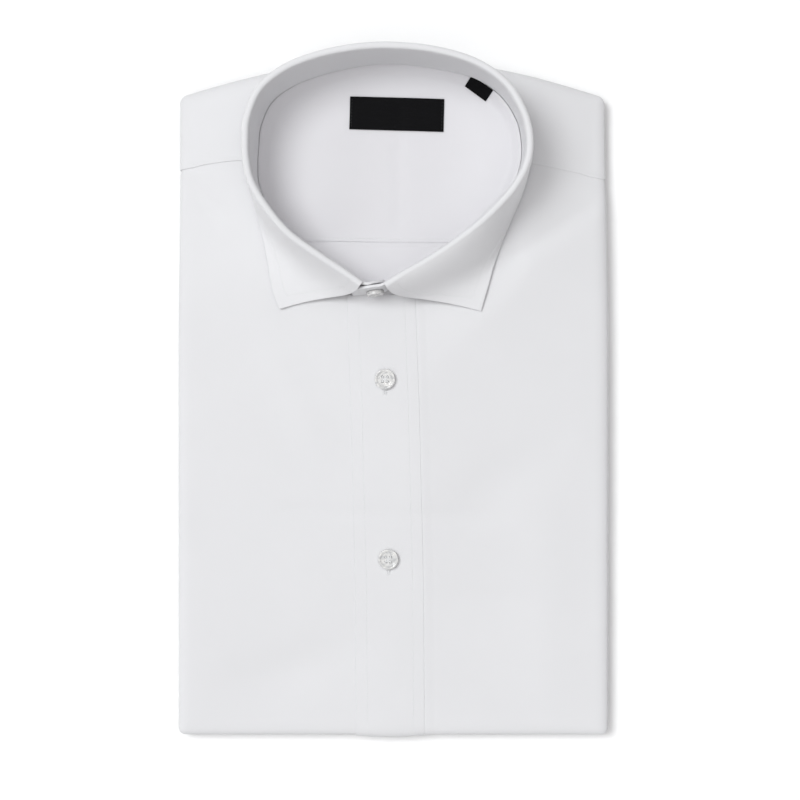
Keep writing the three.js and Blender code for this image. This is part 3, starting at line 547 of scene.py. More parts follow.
# The leaf's outer edge, how it leaves the roll (out, down) and how it comes down to its edge (land, lift).
LEAF_EDGE = table(("edge_x", "edge_y", "edge_z", "out", "down", "land", "lift"), [
    (-61.4, 46.9, 22.5, 8, 17, 31, 1.5),
    (-64.4, 54.6, 23.2, 7, 17, 23.5, 1),
    (-66.2, 62.9, 23.3, 6, 18, 16, 1),
    (-68.4, 75.4, 23.3, 3, 19, 10, 1),
    (-71.2, 89.6, 23.3, 2, 20, 5.5, 1.5),
    (-75.0, 104.6, 23.3, 1.2, 20, 2.5, 3),
    (-78.2, 117.5, 23.3, 0.8, 16, 1.5, 7),
    (-80.0, 132.2, 23.2, 0.6, 12, 0.4, 11),
    (-79.4, 147.6, 23.0, 0.4, 12, 0.2, 11),
    (-72.6, 163.4, 22.6, 0.3, 12, 0.2, 11),
    (-58.8, 174.4, 22.2, 0.3, 12, 0.2, 11),
    (-41.4, 181.4, 21.9, 0.3, 12, 0.2, 11),
    (-21.6, 185.2, 21.6, 0.3, 12, 0.2, 11),
    (-1.6, 185.6, 21.5, 0.3, 12, 0.2, 11),
    (22.0, 184.0, 21.6, 0.3, 12, 0.2, 11),
    (44.0, 177.9, 22.0, 0.3, 12, 0.2, 11),
    (60.8, 166.7, 22.6, 0.3, 12, 0.2, 11),
    (70.6, 151.9, 23.0, 0.4, 12, 0.2, 11),
    (73.8, 137.4, 23.2, 0.6, 12, 0.4, 11),
    (73.0, 123.0, 23.3, 1.2, 12, 1, 11),
    (69.0, 108.6, 23.3, 3, 12, 0.5, 9),
    (63.2, 95.0, 23.3, 5, 10, 0.8, 7),
    (57.8, 82.0, 23.3, 8, 8, 1, 4),
    (54.2, 71.0, 23.4, 10, 7, 5.5, 2),
    (51.6, 61.0, 23.4, 10, 6, 14.5, 1),
    (49.3, 53.0, 23.6, 9, 6, 25, 1),
    (47.3, 45.8, 22.8, 8, 12, 37.5, 1.5),
])
COLLAR = [{**fold_row, **edge_row} for fold_row, edge_row in zip(FOLD_LINE, LEAF_EDGE)]
# The stand's two ends go on past the leaf; the wearer's left end laps over the right one.
UNDER_END = table(FOLD_NAMES, [(-4.4, 62.4, 47.6, 3.4), (-10.0, 61.3, 47.7, 3.4)])
OVER_END = table(FOLD_NAMES, [(-9.6, 59.2, 47.6, 2.8), (-16.2, 58.4, 47.4, 2.8), (-22.0, 58.0, 47.0, 2.8)])
STAND = UNDER_END + FOLD_LINE + OVER_END
ROLL = {"radius": 1.2, "stand_top": 2.4}

# %% Reading the table as a smooth curve


def between(line, at):
    """All columns at row numbers that may lie between two rows, on a smooth curve through the rows."""
    at = np.asarray(at, float)
    last = len(line) - 1
    row = np.clip(np.floor(at).astype(int), 0, last - 1)
    t = at - row
    result = {}
    for key in line[0]:
        values = column(line, key)
        a, b, c, d = (values[np.clip(row + step, 0, last)] for step in (-1, 0, 1, 2))
        bend = (2 * a - 5 * b + 4 * c - d) * t * t
        twist = (3 * b - a - 3 * c + d) * t ** 3
        result[key] = 0.5 * (2 * b + (c - a) * t + bend + twist)
    return result


def outward(line, at):
    """The outward direction in plan at a place along the collar."""
    step = 0.2
    before = between(line, np.maximum(0, np.asarray(at) - step))
    after = between(line, np.minimum(len(line) - 1, np.asarray(at) + step))
    ahead = unit(np.stack([after["fold_x"] - before["fold_x"], after["fold_y"] - before["fold_y"]], -1))
    return np.stack([-ahead[..., 1], ahead[..., 0]], -1)


def beside(line, at, off, z=0.0):
    """A point beside the fold line, off mm outwards, at height z."""
    row = between(line, at)
    out = outward(line, at)
    x = row["fold_x"] + out[..., 0] * off
    y = row["fold_y"] + out[..., 1] * off
    return np.stack([x, y, np.broadcast_to(z, x.shape)], -1)


def neck_seam():
    """The neck seam in plan, once round, under the middle of the stand."""
    at = np.linspace(1, len(COLLAR) - 2, 160)
    seam = beside(COLLAR, at, COLLAR_CLOTH / 2 + between(COLLAR, at)["lean"])[:, :2]
    over_end = np.array([len(STAND) - len(OVER_END)])
    front = beside(STAND, over_end, OVER_END[0]["lean"] + COLLAR_CLOTH / 2)[0, :2]
    closing = [[(front[0] + seam[-1][0]) / 2, front[1] + 1.2], front, [front[0] - 7, front[1] + 0.8]]
    return np.concatenate([seam, closing])


NECK = neck_seam()

# %% A cutter for the neck opening


def neck_cutter(spread=1.0):
    """A closed upright block in the neck's outline, extruded from a filled outline."""
    deselect()
    centre = NECK.mean(0)
    outline = centre + (NECK - centre) * spread
    bpy.ops.mesh.primitive_circle_add(vertices=len(outline), fill_type="NGON")
    cutter = bpy.context.object
    for vertex, (x, y) in zip(cutter.data.vertices, outline):
        vertex.co = (x * MM, y * MM, 10 * MM)
    edit_mode()
    bpy.ops.mesh.select_all(action="SELECT")
    bpy.ops.mesh.extrude_region_move(TRANSFORM_OT_translate={"value": (0, 0, 50 * MM)})
    close_edit()
    return cutter


def cut(piece, cutter, operation="DIFFERENCE"):
    apply(piece, "BOOLEAN", operation=operation, object=cutter, solver="EXACT")


# %% [markdown]
# ## Fronts and yoke
# The fronts wrap the side folds and the hem fold. The yoke comes over the shoulders and laps the fronts
# in a topstitched seam: its folded edge lies on them, and the front dips under it.

# %% Seam lines of the body
YOKE_SEAM = [(-117, 122.6), (-104, 126.4), (-88, 128.6), (0, 128.6), (76, 127.0),
             (104, 121.6), (117, 117.0)]
PLACKET_LINE = [(-200, -1.6), (-110, -2.1), (-5, -4.5), (54, -6.6)]
PLACKET = {"half_width": 18.5, "lift": 0.3, "bulge": 0.85, "top": 54.7}


def yoke_seam_height(x):
    return np.interp(x, *zip(*YOKE_SEAM))


def placket_middle(y):
    return np.interp(y, *zip(*PLACKET_LINE))


def seam_row(p, offset):
    """Cloth height of the yoke seam on cloth columns p."""
    columns = np.linspace(-FLAT_X, FLAT_X, 60)
    heights = cloth_at(columns, yoke_seam_height(columns) + offset)[1]
    return np.interp(p, columns, heights)


# %% Front panels
CELL = 2.2
YOKE_CLOTH = 0.5          # the yoke's two turned edges, pressed thin
YOKE_LAP = 1.4            # how far the yoke lies over the fronts
TURN = FOLD_END * np.array([0, 0.07, 0.14, 0.21, 0.28, 0.35, 0.42, 0.48, 0.54, 0.59, 0.63, 0.66, 0.69, 0.72,
                            0.75, 0.78, 0.81, 0.85, 0.9, 0.95, 1])
TURN_SCALE = 300          # mm of turned cloth for one unit of a panel's v


def spaced(low, high, cell):
    return np.linspace(low, high, max(2, int(abs(high - low) / cell) + 1))


FRONT_RAMP = {"height": 0.24, "width": 6, "fade": 5, "fade_up": 60}
FRONT_UNDER_BAND = 9      # the two fronts meet this far inside the placket's left edge
FRONT_TOP = 38            # about how far the yoke's seam lies from the shoulder fold


def front(side, name):
    """One front. Beside the placket's right edge its cloth rises a little, lifted by the turning."""
    # Columns stand closer together beside the placket's right edge.
    near_edge = 0.232 + np.arange(-3.5, 6.5, 0.5) / 120
    across = np.sort(np.concatenate([spaced(1, 0, CELL / FLAT_X), near_edge]))[::-1]
    us = np.concatenate([1 + TURN[:0:-1] / FLAT_X, across])
    vs = np.concatenate([-TURN[:0:-1] / TURN_SCALE, np.linspace(0, 1, 140)])

    def place(u, v):
        share = np.maximum(v, 0)
        tall = BODY["shoulder"] - FRONT_TOP - BODY["hem"] - FOLD["reach"]
        height = BODY["hem"] + FOLD["reach"] + share * tall
        join = placket_middle(height) - PLACKET["half_width"] + FRONT_UNDER_BAND + side * SEAM_GAP / 2
        p = np.where(u > 1, side * FLAT_X * u, join + (side * FLAT_X - join) * u)
        top = seam_row(p, 0)
        q = np.where(v < 0, -FLAT_Y + v * TURN_SCALE, -FLAT_Y + share * (top + FLAT_Y))
        beside_band = p - placket_middle(height) - PLACKET["half_width"]
        fall = smooth((FRONT_RAMP["width"] - beside_band) / FRONT_RAMP["fade"])
        ramp = FRONT_RAMP["height"] * smooth(beside_band + 0.6) * fall
        ramp = ramp * smooth((top - q) / FRONT_RAMP["fade_up"])
        dip = 4.5 + 4.5 * (side > 0)
        sink = (YOKE_CLOTH + 0.05) * smooth((dip + q - top) / (dip - 2.0))
        return lifted(p, q, ramp - sink), np.stack([p, q], -1), np.full_like(p, NO_SEAM)

    piece = flat_grid(name, us, vs, place)
    shell(piece, SHIRTING, up, rounding=0)
    return piece


NECK_CUTTER = neck_cutter()
for side, name, solid in ((-1, "right_front_cloth", "front_right"), (1, "left_front_cloth", "front_left")):
    panel = front(side, name)
    cut(panel, NECK_CUTTER)
    soften(panel)
    dress(panel, OXFORD, "oxford_cloth", solid)

# %% Yoke over the shoulders
YOKE_STITCH = 1.6         # from the yoke's folded edge to its stitches


def yoke_lift(p):
    """The yoke's folded edge stands up a little on the left shoulder, and lies flat on the right."""
    return np.where(p < 0, 0.12, 0.02)


def yoke():
    half = spaced(0, FLAT_X, CELL)
    right = np.concatenate([half, FLAT_X + TURN[1:]])
    us = np.concatenate([-right[::-1], right[1:]])
    vs = np.concatenate([[0.0, 0.012, 0.03, 0.05, 0.08], np.linspace(0.11, 1, 22),
                         1 + TURN[1:] / TURN_SCALE])

    def place(u, v):
        share = np.minimum(v, 1)
        low = seam_row(u, 0) - YOKE_LAP
        q = low + share * (FLAT_Y - low) + np.maximum(v - 1, 0) * TURN_SCALE
        above = q - low
        points = lifted(u, q, yoke_lift(u) * smooth((9 - above) / 5))
        return points, np.stack([u, q], -1), above - YOKE_STITCH

    piece = flat_grid("yoke_outer_cloth", us, vs, place)
    return shell(piece, YOKE_CLOTH, up, rounding=0.15)


yoke_piece = yoke()
cut(yoke_piece, NECK_CUTTER)
soften(yoke_piece)
dress(yoke_piece, OXFORD, "oxford_cloth", "yoke_outer")

# %% [markdown]
# ## Placket
# The band down the front is a strip folded twice, so it is thicker than the panel and keeps a crisp
# edge. Its stitches run a quarter of an inch inside both edges.

# %% Placket band
STITCH_INSET = 6.0
PLACKET_TOP = cloth_at(placket_middle(PLACKET["top"]), PLACKET["top"])[1]


def placket_lift(u, q):
    """How high the band's outside lies over the fronts: u is -1 at its left edge and 1 at its right."""
    crown = np.cos(u * math.pi / 2)
    hemward = smooth((-FLAT_Y + 12 - q) / 24)
    return PLACKET["lift"] + 0.22 - 0.08 * u + 0.12 * crown + PLACKET["bulge"] * hemward * crown


def placket():
    across = np.array([-1, -0.985, -0.95, -0.9, -0.8, -0.72, -0.66, -0.6, -0.45, -0.25, 0,
                       0.25, 0.45, 0.6, 0.66, 0.72, 0.8, 0.9, 0.95, 0.985, 1])
    vs = np.concatenate([-TURN[:0:-1] / TURN_SCALE, np.linspace(0, 1, 150)])

    def place(u, v):
        share = np.maximum(v, 0)
        q = np.where(v < 0, -FLAT_Y + v * TURN_SCALE, -FLAT_Y + share * (PLACKET_TOP + FLAT_Y))
        height = BODY["hem"] + share * (PLACKET["top"] - BODY["hem"])
        p = placket_middle(height) + u * PLACKET["half_width"]
        from_stitch = (1 - np.abs(u)) * PLACKET["half_width"] - STITCH_INSET
        return lifted(p, q, placket_lift(u, q)), np.stack([p, q], -1), from_stitch

    piece = flat_grid("placket_band", across, vs, place)
    return shell(piece, 0.35, up, rounding=0.15)


placket_piece = placket()
soften(placket_piece)
dress(placket_piece, OXFORD, "oxford_cloth", "placket")

# %% [markdown]
# ## Inside the neck
# Through the open collar the inside shows: the yoke's inner layer, with the back below it. The cloth
# lies on the layers beneath and lifts a little towards the neck seam.

# %% Floor of the neck
NECK_CENTRE = np.array([-3.0, 122.0])
NECK_ANGLE = np.arctan2(NECK[:, 1] - NECK_CENTRE[1], NECK[:, 0] - NECK_CENTRE[0])
NECK_RADIUS = np.hypot(*(NECK - NECK_CENTRE).T)
ORDER = np.argsort(NECK_ANGLE)
INSIDE_SEAM = [(-100, 83.8), (0, 82.4), (100, 82.6)]
INSIDE_STITCH = 1.6       # from the inner yoke's folded edge to its stitches
FLOOR = {"height": 18.25, "rise": 0.45, "back_rise": 1.65, "crease": 0.5, "bulge": 2.2, "tilt": 2.5,
         "over_seam": 0.5, "rim": 0.91, "rim_width": 0.075}


def inside_seam(x, offset=0.0):
    return np.interp(x, *zip(*INSIDE_SEAM)) + offset


def floor_height(x, y):
    angle = np.arctan2(y - NECK_CENTRE[1], x - NECK_CENTRE[0])
    radius = np.interp(angle, NECK_ANGLE[ORDER], NECK_RADIUS[ORDER], period=2 * math.pi)
    reach = np.hypot(x - NECK_CENTRE[0], y - NECK_CENTRE[1]) / radius
    edge_y = NECK_CENTRE[1] + radius * np.sin(angle)
    back = smooth((edge_y - 70) / 50)
    rise = smooth((reach - 0.4) / 0.62)
    crease = FLOOR["crease"] * np.exp(-((x - 3) / 4) ** 2) * smooth((y - 70) / 30) * smooth((170 - y) / 20)
    bulge = FLOOR["bulge"] * np.exp(-((x + 36) / 17) ** 2) * smooth((y - 84) / 25) * smooth((158 - y) / 20)
    tilt = FLOOR["tilt"] * smooth((x - 2) / 40)
    own = FLOOR["height"] + (FLOOR["rise"] + FLOOR["back_rise"] * back) * rise - crease - tilt + bulge
    seam = surface_height(x, y) + FLOOR["over_seam"]
    return own + (seam - own) * smooth((reach - FLOOR["rim"]) / FLOOR["rim_width"])


def neck_floor(name, low, high, sink=0.0):
    us = np.linspace(-80, 76, 90)
    vs = np.linspace(0, 1, 60)

    def place(u, v):
        bottom, top = low(u), high(u)
        y = bottom + v * (top - bottom)
        z = floor_height(u, y) - sink * smooth((y - inside_seam(u, -2)) / 2)
        return np.stack([u, y, z], -1), np.stack([u, y], -1), y - inside_seam(u, INSIDE_STITCH + 0.9)

    piece = flat_grid(name, us, vs, place)
    shell(piece, 0.5, up, rounding=0)
    cut(piece, INNER_CUTTER, "INTERSECT")
    soften(piece)
    return piece


INNER_CUTTER = neck_cutter(0.987)
yoke_inner = neck_floor("yoke_inner_cloth", lambda x: inside_seam(x, 0.9), lambda x: 186 + 0 * x)
dress(yoke_inner, INSIDE_OXFORD_PAINTED_SHADE, "oxford_cloth", "yoke_inner")
back_inner = neck_floor("back_inside_cloth", lambda x: 50 + 0 * x, lambda x: inside_seam(x, 2.7), sink=0.65)
dress(back_inner, INSIDE_OXFORD_PAINTED_SHADE, "oxford_cloth", "back_inner")

# %% [markdown]
# ## Collar stand
# The stand is a stiff band. Its lower edge follows the neck seam over the pack, and its top carries the
# leaf. In front its two ends lap, and the upper one closes with a button.

# %% Stand
BAND = {"length": 460, "width": 36, "corner": 13.0, "end_run": 210, "row": 2.0, "rows_apart": 34}


def stand_place(u, v):
    at = u * (len(STAND) - 1)
    row = between(STAND, at)
    seam = beside(STAND, at, row["lean"] + COLLAR_CLOTH / 2)
    low = surface_height(seam[:, 0], seam[:, 1]) + SEAM_GAP + 0.1
    off = COLLAR_CLOTH / 2 + row["lean"] * (1 - v)
    from_end = np.minimum(u, 1 - u) * BAND["end_run"]
    corner = BAND["corner"]
    rounded = corner - np.sqrt(np.maximum(corner ** 2 - np.maximum(corner - from_end, 0) ** 2, 0))
    high = row["fold_z"] - ROLL["stand_top"] - rounded
    points = beside(STAND, at, off, low + v * (high - low))
    length = at * BAND["length"] / (len(STAND) - 1)
    return points, np.stack([length, v * BAND["width"]], -1), v * BAND["rows_apart"] - BAND["row"]


def collar_inside_out(centres):
    """Away from the neck's centre, for pieces that stand round it."""
    away = centres[:, :2] - NECK_CENTRE
    return np.column_stack([away, np.zeros(len(away))])


stand = flat_grid("collar_stand_cloth", np.linspace(0, 1, 260), np.linspace(0, 1, 16), stand_place)
shell(stand, COLLAR_CLOTH, collar_inside_out, rounding=0.3, offset=0)
soften(stand)
dress(stand, COLLAR_COTTON, "collar_cloth", "collar_stand")

# %% [markdown]
# ## Collar leaf
# The leaf rolls over the top of the stand and falls to its edge: steeply behind the neck, and in a long
# slope to the two points in front. Each section is a turn over the stand, and a Bezier curve that leaves
# it in the direction where the turn ends.

# %% Leaf
ROLL_SHARE = 0.12
LEAF_CLOTH = {"length": 430, "fall": 45}


def leaf_middle(at, v):
    """The middle of the leaf's wall; v runs over the roll first and then down the fall."""
    row = between(COLLAR, at)
    roll_middle = row["fold_z"] - COLLAR_CLOTH / 2 - ROLL["radius"]
    roll_off = COLLAR_CLOTH / 2 + ROLL["radius"]
    flare = np.arctan2(row["out"], row["down"])
    turn = (math.pi - flare) * np.clip(v / ROLL_SHARE, 0, 1)
    roll_out, roll_up = -ROLL["radius"] * np.cos(turn), ROLL["radius"] * np.sin(turn)
    roll = beside(COLLAR, at, roll_off + roll_out, roll_middle + roll_up)
    t = np.clip((v - ROLL_SHARE) / (1 - ROLL_SHARE), 0, 1)[..., None]
    edge = np.stack([row["edge_x"], row["edge_y"], row["edge_z"]], -1)
    start_out = roll_off + ROLL["radius"] * np.cos(flare)
    start_up = roll_middle + ROLL["radius"] * np.sin(flare)
    start = beside(COLLAR, at, start_out, start_up)
    fold = np.stack([row["fold_x"], row["fold_y"]], -1)
    towards = np.concatenate([unit(fold - edge[..., :2]), np.zeros(fold.shape[:-1] + (1,))], -1)
    leave = beside(COLLAR, at, start_out + row["out"], start_up - row["down"])
    arrive = edge + towards * row["land"][..., None]
    arrive[..., 2] += row["lift"]
    upper_part = start * (1 - t) ** 3 + 3 * leave * t * (1 - t) ** 2
    lower_part = 3 * arrive * t * t * (1 - t) + edge * t ** 3
    return np.where((v <= ROLL_SHARE)[..., None], roll, upper_part + lower_part)


LEAF_LAST = len(COLLAR) - 1


def leaf_place(u, v):
    at = u * LEAF_LAST
    points = leaf_middle(at, v)
    edge_v = leaf_middle(at, np.ones_like(v))
    front_l = leaf_middle(np.zeros_like(at), v)
    front_r = leaf_middle(np.full_like(at, LEAF_LAST), v)
    cloth = np.stack([u * LEAF_CLOTH["length"], v * LEAF_CLOTH["fall"]], -1)
    gaps = [np.linalg.norm(points - other, axis=-1) for other in (edge_v, front_l, front_r)]
    return points, cloth, np.min(gaps, 0) - STITCH_INSET


down_leaf = np.concatenate([np.linspace(0, ROLL_SHARE, 12), np.linspace(ROLL_SHARE, 1, 44)[1:]])
leaf = flat_grid("collar_leaf_cloth", np.linspace(0, 1, 280), down_leaf, leaf_place)
shell(leaf, COLLAR_CLOTH, collar_inside_out, rounding=0.3, offset=0)
soften(leaf)
dress(leaf, COLLAR_COTTON, "collar_cloth", "collar_leaf")

# %% [markdown]
# ## Layers folded under
# Under the fronts lie the back, the sleeves and the tail. Only their edges show, as thin rounded layers
# set back from the fold, each a little uneven.

# %% Folded layers
LAYER_PROFILE = [
    (7.0, 6.4), (6.2, 5.4), (5.8, 4.5), (5.0, 4.15), (3.8, 4.0), (3.0, 3.75),
    (2.75, 3.3), (2.8, 2.8), (3.3, 2.45), (4.6, 2.3), (6.0, 2.2), (6.0, 2.05),
    (5.0, 1.95), (4.2, 1.8), (3.8, 1.4), (3.7, 0.9), (3.8, 0.4), (4.4, 0.0)]


def outline_square(count):
    """Once round a square of half-size 1."""
    t = np.arange(count) / count * 4
    side = np.floor(t).astype(int) % 4
    s = 2 * (t - np.floor(t)) - 1
    s = np.sign(s) * (1 - (1 - np.abs(s)) ** 1.5)
    x = np.choose(side, [s, 1 + 0 * s, -s, -1 + 0 * s])
    y = np.choose(side, [-1 + 0 * s, s, 1 + 0 * s, -s])
    return x, y


def folded_layers():
    count = 480
    around_x, around_y = outline_square(count)
    profile = np.array(LAYER_PROFILE)

    def place(u, v):
        k = np.rint(u * count).astype(int) % count
        j = np.rint(v * (len(profile) - 1)).astype(int)
        a, b = around_x[k], around_y[k]
        wave = 0.35 * np.sin(a * 7 + b * 3 + profile[j, 1]) + 0.25 * np.sin(b * 11 - a * 5)
        inset = profile[j, 0] + wave * smooth((profile[j, 0] - 1) / 3)
        p, q = a * (FLAT_X + FOLD["run"]), b * (FLAT_Y + FOLD["run"])
        x, y = plan(p, q, np.full_like(p, FOLD["run"]), FOLD["reach"] - inset)
        cloth = np.stack([u * 1140, v * 14], -1)
        return np.stack([x, y, profile[j, 1]], -1), cloth, np.full_like(p, NO_SEAM)

    us, vs = np.linspace(0, 1, count + 1), np.linspace(0, 1, len(profile))
    piece = flat_grid("folded_under_cloth", us, vs, place)
    edit_mode()
    bpy.ops.mesh.select_all(action="SELECT")
    bpy.ops.mesh.remove_doubles(threshold=0.02 * MM)
    bpy.ops.mesh.select_all(action="DESELECT")
    bpy.ops.mesh.select_non_manifold()
    bpy.ops.mesh.edge_face_add()
    close_edit()
    return piece


layers = folded_layers()
soften(layers, 60)
dress(layers, OXFORD, "oxford_cloth", "folded_layers")

# %% [markdown]
# ## Labels
# The main label is a satin tape sewn at its two ends; the small one is caught in the neck seam.

# %% Labels
LABEL_THICK = 0.7
MAIN_LABEL = {"width": 51.0, "height": 17.7, "x": 1.9, "y": 152.5, "turn": -1.4}
SIZE_LABEL = {"width": 14.0, "height": 6.6, "x": 46.2, "y": 166.2, "turn": -36}


def label(name, solid, width, height, x, y, turn):
    cos, sin = math.cos(math.radians(turn)), math.sin(math.radians(turn))

    def place(u, v):
        du, dv = u * width, v * height
        px, py = x + du * cos - dv * sin, y + du * sin + dv * cos
        ends = 0.25 * smooth((np.abs(u) - 0.42) / 0.08)
        z = floor_height(px, py) + SEAM_GAP + LABEL_THICK - ends
        return np.stack([px, py, z], -1), np.stack([du, dv], -1), np.full_like(u, NO_SEAM)

    piece = flat_grid(name, np.linspace(-0.5, 0.5, 60), np.linspace(-0.5, 0.5, 20), place)
    shell(piece, LABEL_THICK * 0.8, up, rounding=0.15)
    soften(piece)
    dress(piece, SATIN, "label_woven", solid)


label("main_label", "label_main", **MAIN_LABEL)
label("size_label", "label_size", **SIZE_LABEL)

# %% [markdown]
# ## Buttons
# Eighteen-line buttons: a disc with a raised rim, a shallow well and four holes, sewn on with a cross of
# thread. The disc is a cylinder whose top is inset and sunk, with its edges bevelled.

# %% Button


def button(name, solid, radius, centre, direction):
    deselect()
    bpy.ops.mesh.primitive_cylinder_add(vertices=64, radius=radius * MM, depth=2.2 * MM, location=(0, 0, 0))
    piece = bpy.context.object
    piece.name = name
    edit_mode()
    bpy.ops.mesh.select_mode(type="FACE")
    bpy.ops.mesh.select_all(action="DESELECT")
    object_mode()
    for face in piece.data.polygons:
        face.select = face.normal.z > 0.9
    edit_mode()
    bpy.ops.mesh.inset(thickness=1.1 * MM)
    bpy.ops.mesh.inset(thickness=0.5 * MM)
    bpy.ops.transform.translate(value=(0, 0, -0.5 * MM))
    bpy.ops.mesh.inset(thickness=0.4 * MM)
    object_mode()
    apply(piece, "BEVEL", width=0.45 * MM, segments=4, limit_method="ANGLE", angle_limit=math.radians(25))
    for sx, sy in ((1, 1), (1, -1), (-1, 1), (-1, -1)):
        bpy.ops.mesh.primitive_cylinder_add(vertices=20, radius=0.75 * MM, depth=6 * MM,
                                            location=(sx * 1.3 * MM, sy * 1.3 * MM, 0))
        drill = bpy.context.object
        cut(piece, drill)
        bpy.data.objects.remove(drill)
    turn = Vector((0, 0, 1)).rotation_difference(Vector(direction)).to_matrix().to_4x4()
    turn.translation = Vector(centre) * MM
    piece.data.transform(turn)
    soften(piece, 35)
    dress(piece, PEARL, "button_pearl", solid)


def on_placket(x, y, height):
    """A place over the middle of the placket."""
    p, q = cloth_at(np.asarray(x, float), np.asarray(y, float))
    return lifted(p, q, placket_lift(0 * p, q) + height)


BUTTON_SPOTS = [(-4.4, 9.1), (-2.7, -88.3)]
for number, (x, y) in enumerate(BUTTON_SPOTS, 1):
    centre = on_placket(x, y, 1.45)
    button(f"front_button_{number}", f"button_{number}", 5.5, centre, unit(on_placket(x, y, 6) - centre))

# %% Collar button
BUTTON_ROW = len(STAND) - 2.9
out = outward(STAND, np.array([BUTTON_ROW]))[0]
along = np.array([BUTTON_ROW / (len(STAND) - 1)])
low, high = (stand_place(along, np.array([v]))[0][0] for v in (0.2, 0.8))
normal = unit(np.cross(high - low, [out[1], -out[0], 0]))
normal = normal if normal[1] < 0 else -normal
centre = stand_place(along, np.array([0.47]))[0][0]
centre = centre + normal * (COLLAR_CLOTH / 2 + 1.25)
button("collar_button", "button_collar", 4.75, centre, normal)

# %% [markdown]
# ## All the sewing
# Collar and placket are topstitched a quarter of an inch from their edges, as is usual. The yoke is edge
# stitched outside and inside. The stand has a row near its top and one near the neck seam. Each button is
# held by a cross of thread, and its buttonhole, sewn with close stitches, shows below it.

# %% Rows on the placket and the yoke
LIFT = 0.03               # how high a thread's middle lies over the cloth
rows = []
for edge in (-1, 1):
    q = np.linspace(-FLAT_Y - 0.9 * FOLD_END, PLACKET_TOP - 1, 200)
    share = np.clip((q + FLAT_Y) / (PLACKET_TOP + FLAT_Y), 0, 1)
    height = BODY["hem"] + share * (PLACKET["top"] - BODY["hem"])
    u = np.full_like(q, edge * (1 - STITCH_INSET / PLACKET["half_width"]))
    p = placket_middle(height) + u * PLACKET["half_width"]
    rows += stitch_row(lifted(p, q, placket_lift(u, q) + LIFT))
sew("placket_stitches", "oxford_cloth", rows)

rows = []
for start, stop in ((-FLAT_X - FOLD_END, -79), (73, FLAT_X + FOLD_END)):
    p = np.linspace(start, stop, 60)
    rows += stitch_row(lifted(p, seam_row(p, 0) - YOKE_LAP + YOKE_STITCH, yoke_lift(p) + LIFT))
x = np.linspace(-49, 31, 60)
y = inside_seam(x, INSIDE_STITCH + 0.9)
rows += stitch_row(np.stack([x, y, floor_height(x, y) + LIFT], -1))
sew("yoke_stitches", "oxford_cloth", rows)

# %% Rows on the collar


def leaf_outside(at, v):
    """A place on the leaf's outside, a thread's lift off it."""
    along = leaf_middle(np.minimum(at + 0.05, LEAF_LAST), v) - leaf_middle(np.maximum(at - 0.05, 0), v)
    down = leaf_middle(at, np.minimum(v + 0.01, 1)) - leaf_middle(at, np.maximum(v - 0.01, 0))
    return leaf_middle(at, v) + unit(np.cross(along, down)) * (COLLAR_CLOTH / 2 + LIFT)


def inset_from_edge(at):
    """Where down the leaf the outer edge is a stitch inset away."""
    v = np.linspace(1, 0.4, 80)
    at = np.full_like(v, at)
    away = np.linalg.norm(leaf_middle(at, v) - leaf_middle(at, 0 * v + 1), axis=1)
    return np.interp(STITCH_INSET, away, v)


def inset_from_front(v, end):
    """Where along the collar the leaf's front edge is a stitch inset away."""
    at = np.abs(end - np.linspace(0, 3, 80))
    front = leaf_middle(np.full_like(at, end), np.full_like(at, v))
    away = np.linalg.norm(leaf_middle(at, np.full_like(at, v)) - front, axis=1)
    return np.interp(STITCH_INSET, away, at)


downs = np.linspace(ROLL_SHARE + 0.03, 1, 60)
sides = [np.array([inset_from_front(v, end) for v in downs]) for end in (0, LEAF_LAST)]
ats = np.linspace(0, LEAF_LAST, 300)
edges = np.array([inset_from_edge(at) for at in ats])
inner = (ats > np.interp(edges, downs, sides[0])) & (ats < np.interp(edges, downs, sides[1]))
left_line, right_line = (downs < np.interp(line, ats, edges) for line in sides)
path_at = np.concatenate([sides[0][left_line], ats[inner], sides[1][right_line][::-1]])
path_v = np.concatenate([downs[left_line], edges[inner], downs[right_line][::-1]])
sew("collar_leaf_stitches", "collar_cloth", stitch_row(leaf_outside(path_at, path_v)))

rows = []
for v in (0.07, 0.93):
    u = np.linspace(0.006, 0.994, 400)
    out = outward(STAND, u * (len(STAND) - 1))
    middle = stand_place(u, np.full_like(u, v))[0]
    rows += stitch_row(middle - np.column_stack([out, 0 * u]) * (COLLAR_CLOTH / 2 + LIFT))
sew("collar_stand_stitches", "collar_cloth", rows)

# %% Labels, buttons and buttonholes
rows = []
for end in (-24.4, 24.4):
    v = np.linspace(-7.8, 7.8, 20)
    turn = math.radians(MAIN_LABEL["turn"])
    x = MAIN_LABEL["x"] + end * math.cos(turn) - v * math.sin(turn)
    y = MAIN_LABEL["y"] + end * math.sin(turn) + v * math.cos(turn)
    rows += stitch_row(np.stack([x, y, floor_height(x, y) + 1.0 + LIFT], -1), pitch=1.6)
sew("label_stitches", "label_woven", rows, BLACK_THREAD)

rows = []
for x, y in BUTTON_SPOTS:
    for side in (-1, 1):
        ends = [on_placket(x + side * k * 1.35, y + k * 1.35, 2.0) for k in (-1, 1)]
        for shift in (-0.25, 0.25):
            aside = np.array([shift, -side * shift, 0])
            rows.append(strand(ends[0] + aside, ends[1] + aside, 0.26))
        for k in (-1, 1):
            spot = (x + side * k * 1.3, y + k * 1.3)
            rows.append(strand(on_placket(*spot, 0.2), on_placket(*spot, 2.5), 0.74))
sew("button_threads", "oxford_cloth", rows)

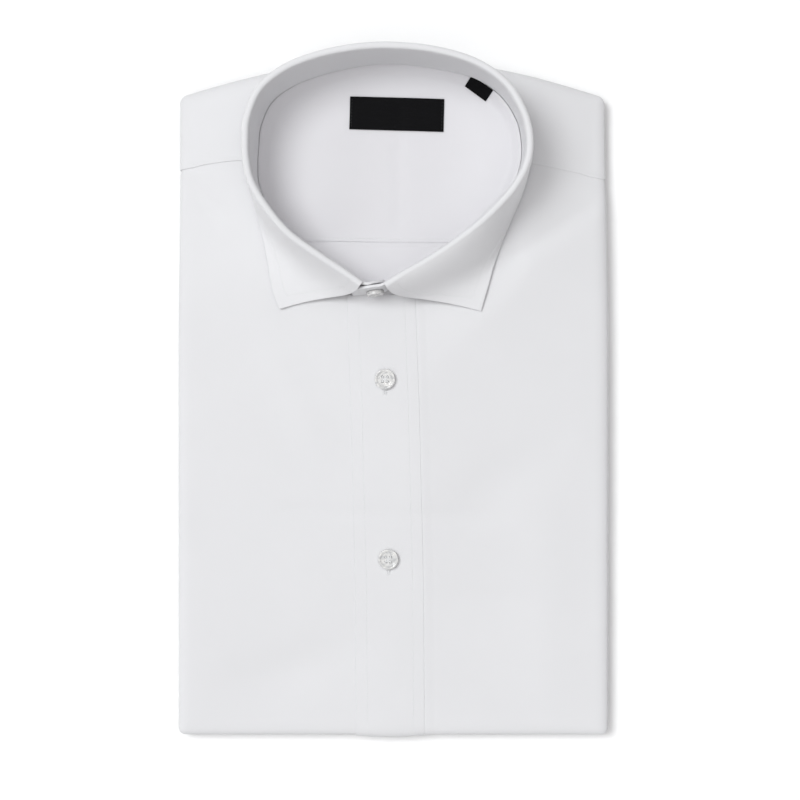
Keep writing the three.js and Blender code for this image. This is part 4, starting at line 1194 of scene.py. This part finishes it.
rows = []
for x, y in BUTTON_SPOTS:
    for step in range(-19, 13):
        for side in (-1, 1):
            start, end = (on_placket(x + side * off, y + step * 0.42, 0.08) for off in (0.12, 1.05))
            rows.append(strand(start, end, 0.2))
    for end in (-8.3, 5.4):
        rows.append(strand(on_placket(x - 1.1, y + end, 0.1), on_placket(x + 1.1, y + end, 0.1), 0.3))
sew("buttonhole_stitches", "oxford_cloth", rows)

# %% [markdown]

# %% [markdown]
# ## Stage, light and camera
# A white table, a large soft lamp high on the left, a softer one low in front, a weak square one overhead
# and white light all round.
# The camera hangs straight above, far enough away that the pack's sides barely show.

# %% Stage
for helper in (NECK_CUTTER, INNER_CUTTER, THREAD_MODEL):
    bpy.data.objects.remove(helper)

deselect()
bpy.ops.mesh.primitive_plane_add(size=6, location=(0, 0, 0))
tabletop = bpy.context.object
tabletop.name = "table"
table_material, tree, shader = new_material("white_studio_table")
set_inputs(shader, {"Base Color": (0.97, 0.97, 0.97, 1), "Roughness": 0.7})
tabletop.data.materials.append(table_material)

# %% Light
world = bpy.data.worlds.new("studio")
bpy.context.scene.world = world
world.use_nodes = True
set_inputs(world.node_tree.nodes["Background"], {"Color": (1, 0.985, 0.99, 1), "Strength": 0.38})


def lamp(name, kind, place, **settings):
    """A lamp at a place in metres that looks back at the middle of the table."""
    data = bpy.data.lights.new(name, kind)
    for key, value in settings.items():
        setattr(data, key, value)
    made = bpy.data.objects.new(name, data)
    bpy.context.collection.objects.link(made)
    made.location = place
    made.rotation_euler = place.to_track_quat("Z", "Y").to_euler()
    print(name, kind, round(data.energy, 3))


SOFTBOX_PLACE = Vector((-18.3, 9.6, 39.0)).normalized() * 2
lamp("softbox", "SUN", SOFTBOX_PLACE, angle=math.radians(26), energy=1.535, color=(0.975, 0.995, 1))
lamp("front_fill", "SUN", Vector((-0.5, -1, 0.8)), angle=math.radians(70), energy=0.27)
lamp("overhead", "AREA", Vector((0, 0, 2.2)), shape="SQUARE", size=2.4, energy=15.8)

# %% Camera
CAMERA_HEIGHT = 1400.0
FRAME_WIDTH = 432.0
SENSOR = 36
camera_data = bpy.data.cameras.new("camera")
camera_data.sensor_width = SENSOR
camera_data.lens = SENSOR * CAMERA_HEIGHT / FRAME_WIDTH
camera = bpy.data.objects.new("camera", camera_data)
bpy.context.collection.objects.link(camera)
camera.location = (3.6 * MM, -2.2 * MM, (CAMERA_HEIGHT + CREST["height"]) * MM)
bpy.context.scene.camera = camera
bpy.context.scene.view_settings.view_transform = "Standard"
bpy.context.scene.view_settings.look = "None"
